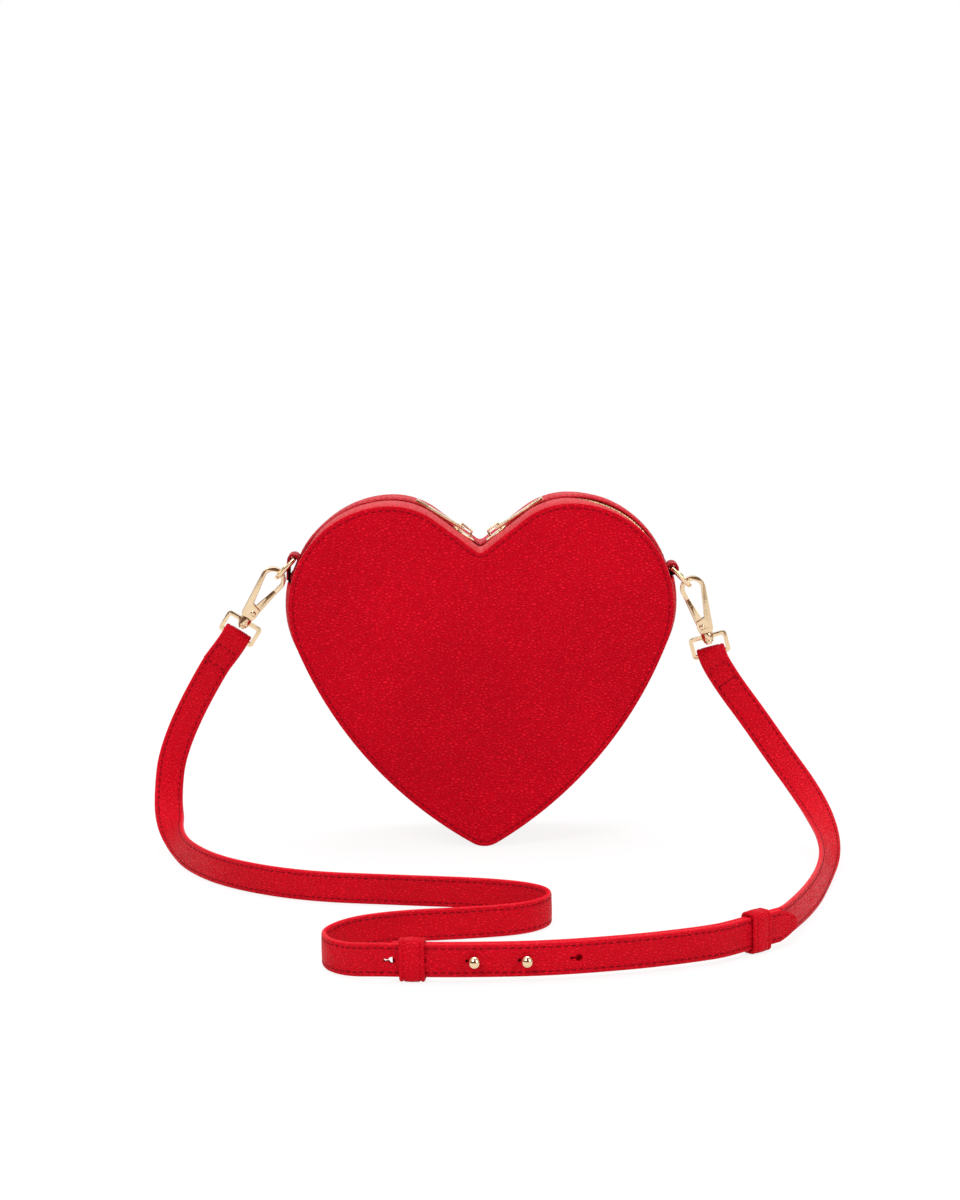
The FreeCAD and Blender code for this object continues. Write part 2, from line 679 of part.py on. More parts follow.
# Places of the ribbon's middle and directions towards its upper edge
LEFT_RISER = [
    ((-144.5, 0, 62), (0.86, 0, -0.51)),
    ((-154.5, -2, 42), (0.92, 0, -0.40)),
    ((-156.5, -7, 28), (0.97, 0.05, -0.22)),
    ((-157, -20, 16.5), (0.92, 0.1, 0.40)),
    ((-152, -42, 10), (0.45, 0.2, 0.87)),
]
LEFT_FLOOR = [(-142, -68), (-119, -97), (-83, -121), (-40, -132), (4, -143), (25, -157), (29, -174), (18, -189),
              (-8, -195), (-36, -198), (-57, -207), (-68, -224), (-66, -239), (-57, -248.5)]
FRONT_RUN = [(-44, -253.8), (-30, -255.6), (-8, -257.2), (24, -257), (58, -250), (93, -235), (125, -207)]
RIGHT_FLOOR = [(144, -165), (154, -121)]
RIGHT_RISER = [
    ((160, -82, 11.5), (-0.45, 0.1, 0.89)),
    ((162.5, -53, 17.5), (-0.85, 0.2, 0.49)),
    ((159, -30, 27), (-0.98, 0.1, 0.0)),
    ((147.5, -13, 40), (-0.92, 0.0, -0.39)),
    ((131.5, -3, 59), (-0.88, 0.0, -0.47)),
]


# Keyholes counted from the first stud, and the keepers' places along the front run
STUD_X = -5.0
KEYHOLES = (-2, -1, 0, 1, 2)
STUDS = (0, 1)
FIXED_KEEPER_X = -32.0
SHORT_END_X = -38.0
SLIDING_KEEPER_X = 109.0


def beside(points, distance):
    """Flat route moved sideways: positive towards the bag."""
    moved = []
    for k, point in enumerate(points):
        before = Vector(*points[max(k - 1, 0)], 0)
        after = Vector(*points[min(k + 1, len(points) - 1)], 0)
        run = (after - before).normalize()
        moved.append((point[0] - run.y * distance, point[1] + run.x * distance))
    return moved


def on_floor(points, height):
    return [(Vector(x, y, height), UP) for x, y in points]


def fold(name, sense):
    """Strap end turned round the loop's lower bar, from the back layer's end over the bar to the front."""
    seat = clasp_seat[name]
    radius = size("loop_stock") * math.sqrt(0.5) + size("fold_gap") + size("strap_leather") / 2
    flat = (size("strap_leather") + size("fold_gap")) / 2
    drop = size("strap_return")
    profile = [(drop, flat), (drop * 0.55, flat), (radius * 1.6, radius * 0.9)]
    profile += [(-radius * math.sin(math.radians(a)), radius * math.cos(math.radians(a))) for a in range(0, 181, 30)]
    profile += [(radius * 1.6, -radius * 0.9), (drop * 0.55, -flat), (drop, -flat)]
    across = seat.Rotation.multVec(Vector(sense, 0, 0))
    return [(seat.multVec(Vector(0, y, strap_bar - down)), across) for down, y in profile]


def corner_arcs(route):
    """Largest arcs that the runs allow at the inner points of a route, as (point, cut, radius)."""
    corners = []
    for (a, _), (b, _), (c, _) in zip(route, route[1:], route[2:]):
        before, after = b - a, c - b
        half = before.getAngle(after) / 2
        cut = 0.45 * min(before.Length, after.Length)
        corners.append((cut, cut / math.tan(half) if half > 1e-4 else math.inf))
    return corners


def stations(route):
    """Places along the route's runs and arcs, each with its heading and its upper-edge direction."""
    corners = corner_arcs(route)
    made = [(route[0][0], (route[1][0] - route[0][0]).normalize(), route[0][1])]
    for (a, ea), (b, eb), (c, ec), (cut, radius) in zip(route, route[1:], route[2:], corners):
        before, after = (b - a).normalize(), (c - b).normalize()
        steps = max(2, int(math.degrees(before.getAngle(after)) / 15))
        for k in range(steps + 1):
            share = k / steps
            # Quadratic blend of the two runs follows the tangent arc closely
            start, end = b - before * cut, b + after * cut
            place = start * (1 - share) ** 2 + b * (2 * share * (1 - share)) + end * share ** 2
            heading = (before * (1 - share) + after * share).normalize()
            edge = ea * (0.25 * (1 - share)) + eb * 0.75 + ec * (0.25 * share)
            made.append((place, heading, edge))
    made.append((route[-1][0], (route[-1][0] - route[-2][0]).normalize(), route[-1][1]))
    return made


def ribbon(label, route, tip=0.0):
    """Closed ribbon lofted straight between rectangles square to the route, with a tapered tip of a given length."""
    route = [(Vector(p), Vector(e).normalize()) for p, e in route]
    half_width, half_thick = size("strap_width") / 2, size("strap_leather") / 2
    wires = []
    length = 0.0
    places = stations(route)
    for k, (place, heading, edge) in enumerate(places):
        upper = (edge - heading * edge.dot(heading)).normalize()
        normal = heading.cross(upper)
        corners = [place + upper * (a * half_width) + normal * (b * half_thick)
                   for a, b in ((1, 1), (1, -1), (-1, -1), (-1, 1))]
        wires.append(Part.makePolygon(corners + corners[:1]))
        if k:
            length += (place - places[k - 1][0]).Length
    if tip:
        narrow = [place + (corner - place) * 0.45 + heading * tip for corner in corners]
        narrow = [point + normal * (normal.dot(corner - place) * 0.55) for point, corner in zip(narrow, corners)]
        wires.append(Part.makePolygon(narrow + narrow[:1]))
    solid = Part.makeLoft(wires, True, True)
    radii = [radius for _, radius in corner_arcs(route)]
    expected = length * size("strap_width") * size("strap_leather")
    print("%s: length %.0f, radii %s" % (label, length, " ".join("%.0f" % r for r in radii)))
    print("%s: volume %.0f against %.0f" % (label, solid.Volume, expected))
    return solid


def run_frame(x):
    """Placement on the front run where it passes a given X: local X along the run, Y towards the bag."""
    places = [place for place, _, _ in stations(on_floor(LEFT_FLOOR[-1:] + FRONT_RUN, keeper_z))]
    for a, b in zip(places, places[1:]):
        if a.x <= x <= b.x:
            heading = math.degrees(math.atan2(b.y - a.y, b.x - a.x))
            return Placement(a + (b - a) * ((x - a.x) / (b.x - a.x)), Rotation(UP, heading))
    raise ValueError("the run doesn't reach x = %.1f" % x)


layer = (size("strap_leather") + size("layer_gap")) / 2
front_line = beside(FRONT_RUN, -layer)
short_end = run_frame(SHORT_END_X).Base
rear_line = beside([(short_end.x, short_end.y)] + FRONT_RUN[1:], layer)
long_route = fold("left", 1) + LEFT_RISER + on_floor(LEFT_FLOOR, floor_z) + on_floor(front_line, keeper_z)
short_route = fold("right", -1) + RIGHT_RISER[::-1] + on_floor(RIGHT_FLOOR[::-1], floor_z)
short_route += on_floor(rear_line[::-1], keeper_z)
strap_long = ribbon("strap_long", long_route, tip=size("strap_width") * 0.4)
strap_short = ribbon("strap_short", short_route)

# Keyholes of the long strap, two of them on the studs
# Local axes of each place: X along the run, Y towards the bag
places = [run_frame(STUD_X + k * size("keyhole_pitch")) for k in KEYHOLES]
through = 6 * size("strap_leather")


def keyhole(place):
    """Round hole with a slit behind it, as a cutter through the strap."""
    hole = Part.makeCylinder(size("keyhole_radius"), through, Vector(0, through / 2, 0), Vector(0, -1, 0))
    slit = Part.makeBox(size("keyhole_slit"), through, size("slit_width"),
                        Vector(-size("keyhole_slit"), -through / 2, -size("slit_width") / 2))
    cutter = hole.fuse(slit)
    cutter.Placement = place
    return cutter


def rod(radius, start, end):
    """Cylinder along local Y, towards the bag."""
    return Part.makeCylinder(radius, end - start, Vector(0, start, 0), ACROSS)


def placed(shape, place):
    copy = shape.copy()
    copy.Placement = place
    return copy


stack = layer + size("strap_leather") / 2
neck = size("stud_neck_radius")
bore = size("stud_screw_radius") + 0.05
ball_centre = -stack - size("layer_gap") - math.sqrt(size("stud_ball_radius") ** 2 - neck ** 2)
ball = size("stud_ball_radius")
meridian = [Vector(ball * math.sin(math.radians(a)), ball_centre - ball * math.cos(math.radians(a)), 0)
            for a in range(0, 181, 15)]
stud = Part.Face(Part.makePolygon(meridian + meridian[:1])).revolve(EMPTY, ACROSS, 360)
stud = stud.fuse(rod(neck, ball_centre, stack)).cut(rod(bore, -stack, stack))
head = stack + size("layer_gap")
screw = rod(size("stud_screw_radius"), -stack + 0.2, head)
screw = screw.fuse(rod(size("stud_head_radius"), head, head + size("stud_head")))
stud_places = [place for k, place in zip(KEYHOLES, places) if k in STUDS]
for place in places:
    strap_long = strap_long.cut(keyhole(place))
for place in stud_places:
    strap_short = strap_short.cut(placed(rod(neck + 0.1, -through, through), place))

add_shape("strap_long", strap_long)
add_shape("strap_short", strap_short)
add_shape("strap_studs", Part.makeCompound([placed(stud, place) for place in stud_places]))
add_shape("stud_screws", Part.makeCompound([placed(screw, place) for place in stud_places]))


# Keepers: leather loops round both layers

def add_keeper(label, place):
    body = add_body(label)
    play, wall = size("keeper_play"), size("keeper_leather")
    deep, high = stack + play, size("strap_width") / 2 + play
    ring = [rounded_box(-deep - wall, deep + wall, -high - wall, high + wall, wall),
            rounded_box(-deep, deep, -high, high, play)]
    pad(body, "YZ_Plane", ring, "sizes.keeper_length", both_ways=True)
    body.Placement = place


add_keeper("fixed_keeper", run_frame(FIXED_KEEPER_X))
add_keeper("sliding_keeper", run_frame(SLIDING_KEEPER_X))


# Every object settled and every piece sound before anything is written

doc.recompute()
for thing in doc.Objects:
    if "Invalid" in thing.State or "Error" in thing.State:
        raise RuntimeError("%s failed: %s" % (thing.Label, thing.State))
os.makedirs("parts", exist_ok=True)
for piece in parts:
    if piece.Shape.isNull() or not piece.Shape.isValid():
        raise RuntimeError(piece.Label + ": no sound shape")
    piece.Shape.exportStep("parts/%s.step" % piece.Label)
print("%d pieces" % len(parts))
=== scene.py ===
"""Looks of the heart shaped purse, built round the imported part.

Metres, in the part's own frame: +Z up, the front towards -Y, +X to the right of the photograph.
"""

import logging
import math
from dataclasses import dataclass, field
from enum import Enum
from typing import Callable, ClassVar, Iterable, Sequence

import bpy
import numpy as np
from mathutils import Matrix, Vector, noise


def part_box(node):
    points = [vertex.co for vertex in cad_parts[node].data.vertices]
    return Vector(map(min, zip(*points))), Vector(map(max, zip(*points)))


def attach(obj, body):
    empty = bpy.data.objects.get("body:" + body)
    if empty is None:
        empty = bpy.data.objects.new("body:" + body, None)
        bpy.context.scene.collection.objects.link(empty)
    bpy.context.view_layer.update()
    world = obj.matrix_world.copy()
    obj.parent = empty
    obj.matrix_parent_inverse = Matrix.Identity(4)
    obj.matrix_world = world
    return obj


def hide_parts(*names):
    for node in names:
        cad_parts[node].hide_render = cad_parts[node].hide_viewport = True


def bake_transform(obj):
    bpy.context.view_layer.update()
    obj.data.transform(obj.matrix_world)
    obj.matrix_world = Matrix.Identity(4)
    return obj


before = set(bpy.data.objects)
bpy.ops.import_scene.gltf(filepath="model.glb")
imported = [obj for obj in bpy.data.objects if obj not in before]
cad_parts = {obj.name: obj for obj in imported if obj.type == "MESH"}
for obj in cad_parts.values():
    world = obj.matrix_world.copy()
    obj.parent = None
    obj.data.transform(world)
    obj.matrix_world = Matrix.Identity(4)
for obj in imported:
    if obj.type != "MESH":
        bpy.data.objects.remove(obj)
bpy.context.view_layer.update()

LOG = logging.getLogger("heart_purse")
MM = 0.001
MERGE_WITHIN = 1e-6
Piece = bpy.types.Object
Tree = bpy.types.NodeTree
Node = bpy.types.Node
Socket = bpy.types.NodeSocket
Point = tuple[float, float, float]
Colour = tuple[float, float, float, float]
Route = tuple[tuple[Point, Point], ...]
WHITE: Colour = (1.0, 1.0, 1.0, 1.0)


class Side(Enum):
    """The two sides of the purse, as the photograph shows them."""

    LEFT = "left"
    RIGHT = "right"


class Face(Enum):
    """The two faces of the purse; the value is the direction along Y."""

    FRONT = -1.0
    BACK = 1.0

    @property
    def half(self) -> str:
        """The face's name in the names of nodes and pieces."""
        return self.name.lower()


class Stretch(Enum):
    """The strap's stretches from its sewn end to the free run; only the sewn stretch moves, with the loop."""

    SEWN = "turns with the loop"
    TWIST = "takes up the swivel's turn"
    BEND = "takes up the hook's swing"
    RUN = "takes up the ring's swing, then lies still"


class Slot(Enum):
    """The record's material slots, as the finishes name them."""

    LEATHER = "red_leather"
    TAPE = "zip_tape"
    GOLD = "gold_metal"


# Work at the bench: selection, edit mode, modifiers


def clear_selection() -> None:
    """Deselects every object."""
    bpy.ops.object.select_all(action="DESELECT")


def take(piece: Piece) -> None:
    """Makes a piece the only selected and the active one.

    Args:
        piece: the piece.
    """
    clear_selection()
    piece.select_set(True)
    bpy.context.view_layer.objects.active = piece


def edit(piece: Piece, *steps: Callable[[], object]) -> None:
    """Runs edit-mode operators on the whole mesh of a piece.

    Args:
        piece: the piece to work on.
        steps: calls to run in order, with everything selected.
    """
    take(piece)
    bpy.ops.object.mode_set(mode="EDIT")
    bpy.ops.mesh.select_all(action="SELECT")
    for step in steps:
        step()
    bpy.ops.object.mode_set(mode="OBJECT")


def merge() -> None:
    """Joins points that lie on each other, in edit mode."""
    bpy.ops.mesh.remove_doubles(threshold=MERGE_WITHIN)


def turn_outward() -> None:
    """Makes the normals point out of a shape, in edit mode."""
    bpy.ops.mesh.normals_make_consistent(inside=False)


def modify(piece: Piece, kind: str, **settings: object) -> None:
    """Adds a modifier, sets it and applies it.

    Args:
        piece: the piece to work on.
        kind: Blender's type name of the modifier.
        settings: the modifier's values by name.
    """
    take(piece)
    bpy.ops.object.modifier_add(type=kind)
    modifier = piece.modifiers[-1]
    for name, value in settings.items():
        setattr(modifier, name, value)
    bpy.ops.object.modifier_apply(modifier=modifier.name)


def bevel(piece: Piece, width: float, segments: int, degrees: float) -> None:
    """Rounds the edges of a piece that are sharper than an angle.

    Args:
        piece: the piece to work on.
        width: the rounding's width.
        segments: how many steps it has.
        degrees: the angle.
    """
    modify(
        piece, "BEVEL", width=width, segments=segments, limit_method="ANGLE",
        angle_limit=math.radians(degrees), use_clamp_overlap=True,
    )


def smooth(piece: Piece, degrees: float) -> None:
    """Shades a piece smooth except over edges sharper than an angle."""
    take(piece)
    bpy.ops.object.shade_smooth_by_angle(angle=math.radians(degrees))


def face_towards(piece: Piece, way: Callable[[np.ndarray], np.ndarray]) -> None:
    """Turns a skin's faces over if they look the wrong way.

    Args:
        piece: the skin.
        way: gives the outward direction at face centres, both as rows of three.
    """
    count = len(piece.data.polygons)
    normals = np.empty(count * 3)
    centres = np.empty(count * 3)
    piece.data.polygons.foreach_get("normal", normals)
    piece.data.polygons.foreach_get("center", centres)
    outward = way(centres.reshape(-1, 3))
    if float(np.sum(normals.reshape(-1, 3) * outward)) < 0.0:
        edit(piece, lambda: bpy.ops.mesh.flip_normals())


def loft(name: str, rows: np.ndarray) -> Piece:
    """A skin through rows of points: a grid laid on the rows, its seams and poles closed.

    Args:
        name: the piece's name.
        rows: an array of rows by columns by three.

    Returns:
        The new piece.
    """
    clear_selection()
    tall, wide, _ = rows.shape
    bpy.ops.mesh.primitive_grid_add(x_subdivisions=wide - 1, y_subdivisions=tall - 1, size=1.0)
    piece = bpy.context.object
    piece.name = name
    piece.data.name = name
    piece.data.vertices.foreach_set("co", np.ascontiguousarray(rows, dtype=np.float64).reshape(-1))
    edit(piece, merge, turn_outward)
    take(piece)
    bpy.ops.object.shade_smooth()
    return piece


def copies(name: str, model: Piece, frames: Iterable[Matrix]) -> Piece:
    """One piece made of copies of a model, each placed by a matrix.

    Args:
        name: the new piece's name.
        model: the modelled shape; it is removed afterwards.
        frames: where the copies go.

    Returns:
        The new piece.
    """
    points = np.array([vertex.co for vertex in model.data.vertices])
    faces = [tuple(face.vertices) for face in model.data.polygons]
    all_points: list[np.ndarray] = []
    all_faces: list[tuple[int, ...]] = []
    for index, place in enumerate(frames):
        matrix = np.array(place)
        all_points.append(points @ matrix[:3, :3].T + matrix[:3, 3])
        shift = index * len(points)
        all_faces.extend(tuple(corner + shift for corner in face) for face in faces)
    mesh = bpy.data.meshes.new(name)
    mesh.from_pydata(np.concatenate(all_points).tolist(), [], all_faces)
    piece = bpy.data.objects.new(name, mesh)
    bpy.context.scene.collection.objects.link(piece)
    bpy.data.objects.remove(model)
    take(piece)
    bpy.ops.object.shade_smooth()
    return piece


def unit(vectors: np.ndarray) -> np.ndarray:
    """Vectors of length one, row by row."""
    return vectors / np.maximum(np.linalg.norm(vectors, axis=-1, keepdims=True), 1e-12)


def along(points: np.ndarray) -> np.ndarray:
    """The distance run from the first point to each point of a line."""
    steps = np.linalg.norm(np.diff(points, axis=0), axis=1)
    return np.concatenate([[0.0], np.cumsum(steps)])


def at(points: np.ndarray, run: np.ndarray, distances: np.ndarray) -> np.ndarray:
    """Values of rows at distances along a line."""
    return np.stack([np.interp(distances, run, points[:, axis]) for axis in range(points.shape[1])], axis=1)


def eased(share: np.ndarray) -> np.ndarray:
    """Shares from 0 to 1, slow at both ends."""
    return share * share * (3.0 - 2.0 * share)


def placing(position: np.ndarray, forward: np.ndarray, upward: np.ndarray) -> Matrix:
    """A frame at a position.

    Args:
        position: its origin.
        forward: the way of its X axis.
        upward: the way of its Z axis, as nearly as X allows.

    Returns:
        The frame as a matrix.
    """
    x_axis = Vector(forward).normalized()
    y_axis = Vector(upward).cross(x_axis).normalized()
    z_axis = x_axis.cross(y_axis)
    return Matrix.Translation(Vector(position)) @ Matrix((x_axis, y_axis, z_axis)).transposed().to_4x4()


def spline_points(name: str, points: Sequence[Point], steps: int) -> np.ndarray:
    """Points read from the smooth line that has the given control points.

    Args:
        name: the line's name.
        points: its control points.
        steps: how many points are read from each of its spans.

    Returns:
        Rows of three.
    """
    curve = bpy.data.curves.new(name, "CURVE")
    curve.dimensions = "3D"
    curve.resolution_u = steps
    spline = curve.splines.new("NURBS")
    spline.points.add(len(points) - 1)
    for control, point in zip(spline.points, points):
        control.co = (*point, 1.0)
    spline.order_u = 3
    spline.use_endpoint_u = True
    holder = bpy.data.objects.new(name, curve)
    bpy.context.scene.collection.objects.link(holder)
    mesh = bpy.data.meshes.new_from_object(holder)
    line = np.array([vertex.co for vertex in mesh.vertices])
    bpy.data.meshes.remove(mesh)
    bpy.data.objects.remove(holder)
    bpy.data.curves.remove(curve)
    return line


# Finishes


class Recipe:
    """The nodes of a material, a world or a group while they are put together."""

    def __init__(self, tree: Tree) -> None:
        """Keeps the tree that is worked on."""
        self.tree = tree

    @classmethod
    def on(cls, owner: bpy.types.ID) -> "Recipe":
        """An empty recipe.

        Args:
            owner: the material or the world that it is for.

        Returns:
            The recipe.
        """
        owner.use_nodes = True
        owner.node_tree.nodes.clear()
        return cls(owner.node_tree)

    def add(self, kind: str, inputs: dict[str | int, object] | None = None, **settings: object) -> Node:
        """Adds a node.

        Args:
            kind: Blender's type name of the node.
            inputs: sockets or values by the input's name or number.
            settings: the node's own settings.

        Returns:
            The node.
        """
        node = self.tree.nodes.new(kind)
        for name, value in settings.items():
            setattr(node, name, value)
        self.fill(node, inputs or {})
        return node

    def fill(self, node: Node, inputs: dict[str | int, object]) -> None:
        """Links a node's inputs to other sockets, or sets their values.

        Args:
            node: the node.
            inputs: sockets or values by the input's name or number.
        """
        for key, value in inputs.items():
            if isinstance(value, Socket):
                self.tree.links.new(value, node.inputs[key])
            else:
                node.inputs[key].default_value = value

    def math(self, operation: str, first: object, second: object) -> Socket:
        """The outcome of a sum on two values."""
        return self.add("ShaderNodeMath", {0: first, 1: second}, operation=operation).outputs[0]

    def vector(self, operation: str, first: object, second: object) -> Socket:
        """The outcome of a sum on two vectors."""
        return self.add("ShaderNodeVectorMath", {0: first, 1: second}, operation=operation).outputs[0]

    def mix(self, amount: object, first: object, second: object) -> Socket:
        """A colour between two colours."""
        return self.add("ShaderNodeMix", {0: amount, 6: first, 7: second}, data_type="RGBA").outputs[2]

    def spread(self, value: object, low: float, high: float, to_low: float, to_high: float) -> Socket:
        """A value carried smoothly from one range to another."""
        inputs = {0: value, 1: low, 2: high, 3: to_low, 4: to_high}
        return self.add("ShaderNodeMapRange", inputs, interpolation_type="SMOOTHSTEP").outputs[0]

    def noise(self, where: object, scale: object, detail: float, roughness: float = 0.5) -> Node:
        """A cloudy pattern."""
        inputs = {"Vector": where, "Scale": scale, "Detail": detail, "Roughness": roughness}
        return self.add("ShaderNodeTexNoise", inputs)

    def lay(self, where: object, rotation: Point, scale: Point) -> Socket:
        """A place turned and stretched for a pattern."""
        inputs = {"Vector": where, "Rotation": rotation, "Scale": scale}
        return self.add("ShaderNodeMapping", inputs).outputs[0]


class Effect(Enum):
    """Effects that several finishes share, each one group of nodes."""

    GRAIN = "pebble_grain"
    TONE = "slow_tone"
    MARKS = "handling_marks"
    WEAVE = "plain_weave"


class Effects:
    """The shared effects, each built once."""

    wander_scale: ClassVar[float] = 420.0
    wander_reach: ClassVar[float] = 1.1 * MM
    pebble_turn: ClassVar[Point] = (0.35, math.radians(38.0), 0.3)
    pebble_stretch: ClassVar[Point] = (0.62, 0.9, 1.12)
    pebble_edge: ClassVar[float] = 0.34
    fine_scale: ClassVar[float] = 2600.0
    fine_share: ClassVar[float] = 0.25
    streaks: ClassVar[tuple[tuple[float, Point], ...]] = ((0.4, (14.0, 1.0, 1.0)), (1.9, (1.0, 1.0, 11.0)))
    thread_wander: ClassVar[float] = 0.35
    gap_below: ClassVar[float] = 0.45

    def __init__(self) -> None:
        """Builds the groups."""
        self.groups: dict[Effect, Tree] = {
            Effect.GRAIN: self._grain(),
            Effect.TONE: self._tone(),
            Effect.MARKS: self._marks(),
            Effect.WEAVE: self._weave(),
        }

    @staticmethod
    def _group(effect: Effect, *results: str) -> tuple[Recipe, Socket, Socket, Node]:
        """A group that reads a place and a scale.

        Args:
            effect: which effect it is.
            results: the names of the values that it gives.

        Returns:
            The recipe, the place, the scale and the output node.
        """
        tree = bpy.data.node_groups.new(effect.value, "ShaderNodeTree")
        tree.interface.new_socket(name="Vector", in_out="INPUT", socket_type="NodeSocketVector")
        tree.interface.new_socket(name="Scale", in_out="INPUT", socket_type="NodeSocketFloat")
        for name in results:
            tree.interface.new_socket(name=name, in_out="OUTPUT", socket_type="NodeSocketFloat")
        recipe = Recipe(tree)
        source = recipe.add("NodeGroupInput").outputs
        return recipe, source["Vector"], source["Scale"], recipe.add("NodeGroupOutput")

    def _grain(self) -> Tree:
        """Leather grain: small drawn-out pebbles with creases between them.

        Returns:
            The group.
        """
        recipe, where, scale, result = self._group(Effect.GRAIN, "Height", "Crease")
        wander = recipe.noise(where, self.wander_scale, 2.0).outputs["Color"]
        drift = recipe.vector("SUBTRACT", wander, (0.5, 0.5, 0.5))
        inputs = {0: drift, "Scale": self.wander_reach}
        small = recipe.add("ShaderNodeVectorMath", inputs, operation="SCALE").outputs[0]
        slant = recipe.lay(recipe.vector("ADD", where, small), self.pebble_turn, self.pebble_stretch)
        inputs = {"Vector": slant, "Scale": scale, "Randomness": 0.85}
        cells = recipe.add("ShaderNodeTexVoronoi", inputs, feature="DISTANCE_TO_EDGE")
        pebble = recipe.spread(cells.outputs["Distance"], 0.0, self.pebble_edge, 0.0, 1.0)
        fine = recipe.noise(where, self.fine_scale, 3.0).outputs[0]
        rise = recipe.math("MULTIPLY", fine, self.fine_share)
        height, crease = recipe.math("ADD", pebble, rise), recipe.math("SUBTRACT", 1.0, pebble)
        recipe.fill(result, {"Height": height, "Crease": crease})
        return recipe.tree

    def _tone(self) -> Tree:
        """Slow, cloudy change of tone over a surface.

        Returns:
            The group.
        """
        recipe, where, scale, result = self._group(Effect.TONE, "Mask")
        cloud = recipe.noise(where, scale, 4.0, 0.55).outputs[0]
        recipe.fill(result, {"Mask": recipe.spread(cloud, 0.3, 0.7, 0.0, 1.0)})
        return recipe.tree

    def _marks(self) -> Tree:
        """Fine rubbing marks: thin streaks in two directions.

        Returns:
            The group.
        """
        recipe, where, scale, result = self._group(Effect.MARKS, "Mask")
        streaks: list[Socket] = []
        for turn, stretch in self.streaks:
            laid = recipe.lay(where, (turn, turn * 0.7, turn * 1.3), stretch)
            streaks.append(recipe.noise(laid, scale, 3.0).outputs[0])
        both = recipe.math("MULTIPLY", *streaks)
        recipe.fill(result, {"Mask": recipe.spread(both, 0.18, 0.34, 0.0, 1.0)})
        return recipe.tree

    def _weave(self) -> Tree:
        """Plain weave: threads over and under each other, with the gaps between them.

        Returns:
            The group.
        """
        recipe, where, scale, result = self._group(Effect.WEAVE, "Height", "Gap")
        inputs = {"Vector": where, "Scale": scale, "Distortion": self.thread_wander}
        bands = [
            recipe.add("ShaderNodeTexWave", inputs, bands_direction=direction).outputs["Fac"]
            for direction in "XYZ"
        ]
        crossed = recipe.math("MAXIMUM", recipe.math("MULTIPLY", bands[0], bands[1]), bands[2])
        recipe.fill(result, {"Height": crossed, "Gap": recipe.spread(crossed, 0.0, self.gap_below, 1.0, 0.0)})
        return recipe.tree


EFFECTS = Effects()


class MaterialRecipe(Recipe):
    """A material's recipe, with its shader and the place at which patterns are read."""

    def __init__(self, material: bpy.types.Material) -> None:
        """Empties a material and gives it a shader.

        Args:
            material: the material.
        """
        super().__init__(Recipe.on(material).tree)
        self.shader = self.add("ShaderNodeBsdfPrincipled")
        self.add("ShaderNodeOutputMaterial", {"Surface": self.shader.outputs[0]})
        self.where = self.add("ShaderNodeTexCoord").outputs["Object"]

    def effect(self, effect: Effect, scale: float) -> bpy.types.bpy_prop_collection:
        """Places a shared effect.

        Args:
            effect: the effect.
            scale: how fine it is.

        Returns:
            The effect's values by name.
        """
        inputs = {"Vector": self.where, "Scale": scale}
        return self.add("ShaderNodeGroup", inputs, node_tree=EFFECTS.groups[effect]).outputs

    def bump(self, height: object, strength: float, distance: float) -> None:
        """Lets a height shape the shader's normal."""
        node = self.add("ShaderNodeBump", {"Height": height, "Strength": strength, "Distance": distance})
        self.fill(self.shader, {"Normal": node.outputs[0]})


@dataclass(frozen=True)
class Finish:
    """A finish: a material made once, on first use, with its slot and what it adds to a piece's name."""

    name: str
    light: Colour
    deep: Colour
    slot: ClassVar[Slot] = Slot.LEATHER
    ending: ClassVar[str] = "leather"

    def tint(self, recipe: MaterialRecipe, scale: float) -> Socket:
        """The finish's colour, from deep to light in slow clouds."""
        return recipe.mix(recipe.effect(Effect.TONE, scale)["Mask"], self.deep, self.light)

    def dress(self, recipe: MaterialRecipe) -> None:
        """Links the finish's nodes to the shader; each finish has its own."""
        raise NotImplementedError

    def material(self) -> bpy.types.Material:
        """The finish's material, made on first use.

        Returns:
            The material.
        """
        made = bpy.data.materials.get(self.name)
        if made is None:
            made = bpy.data.materials.new(self.name)
            self.dress(MaterialRecipe(made))
        return made

    def put_on(self, piece: Piece, body: str | None, node: str | None = None) -> Piece:
        """Gives a new piece this finish's material, hangs it on the body that it moves with, and hides the
        CAD node that it stands for.

        Args:
            piece: the piece.
            body: the body that it rides on, unless that is said elsewhere.
            node: the CAD node that it stands for, if any.

        Returns:
            The same piece.
        """
        piece.data.materials.clear()
        piece.data.materials.append(self.material())
        if body is not None:
            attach(piece, body)
        if node is not None:
            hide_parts(node)
        return piece


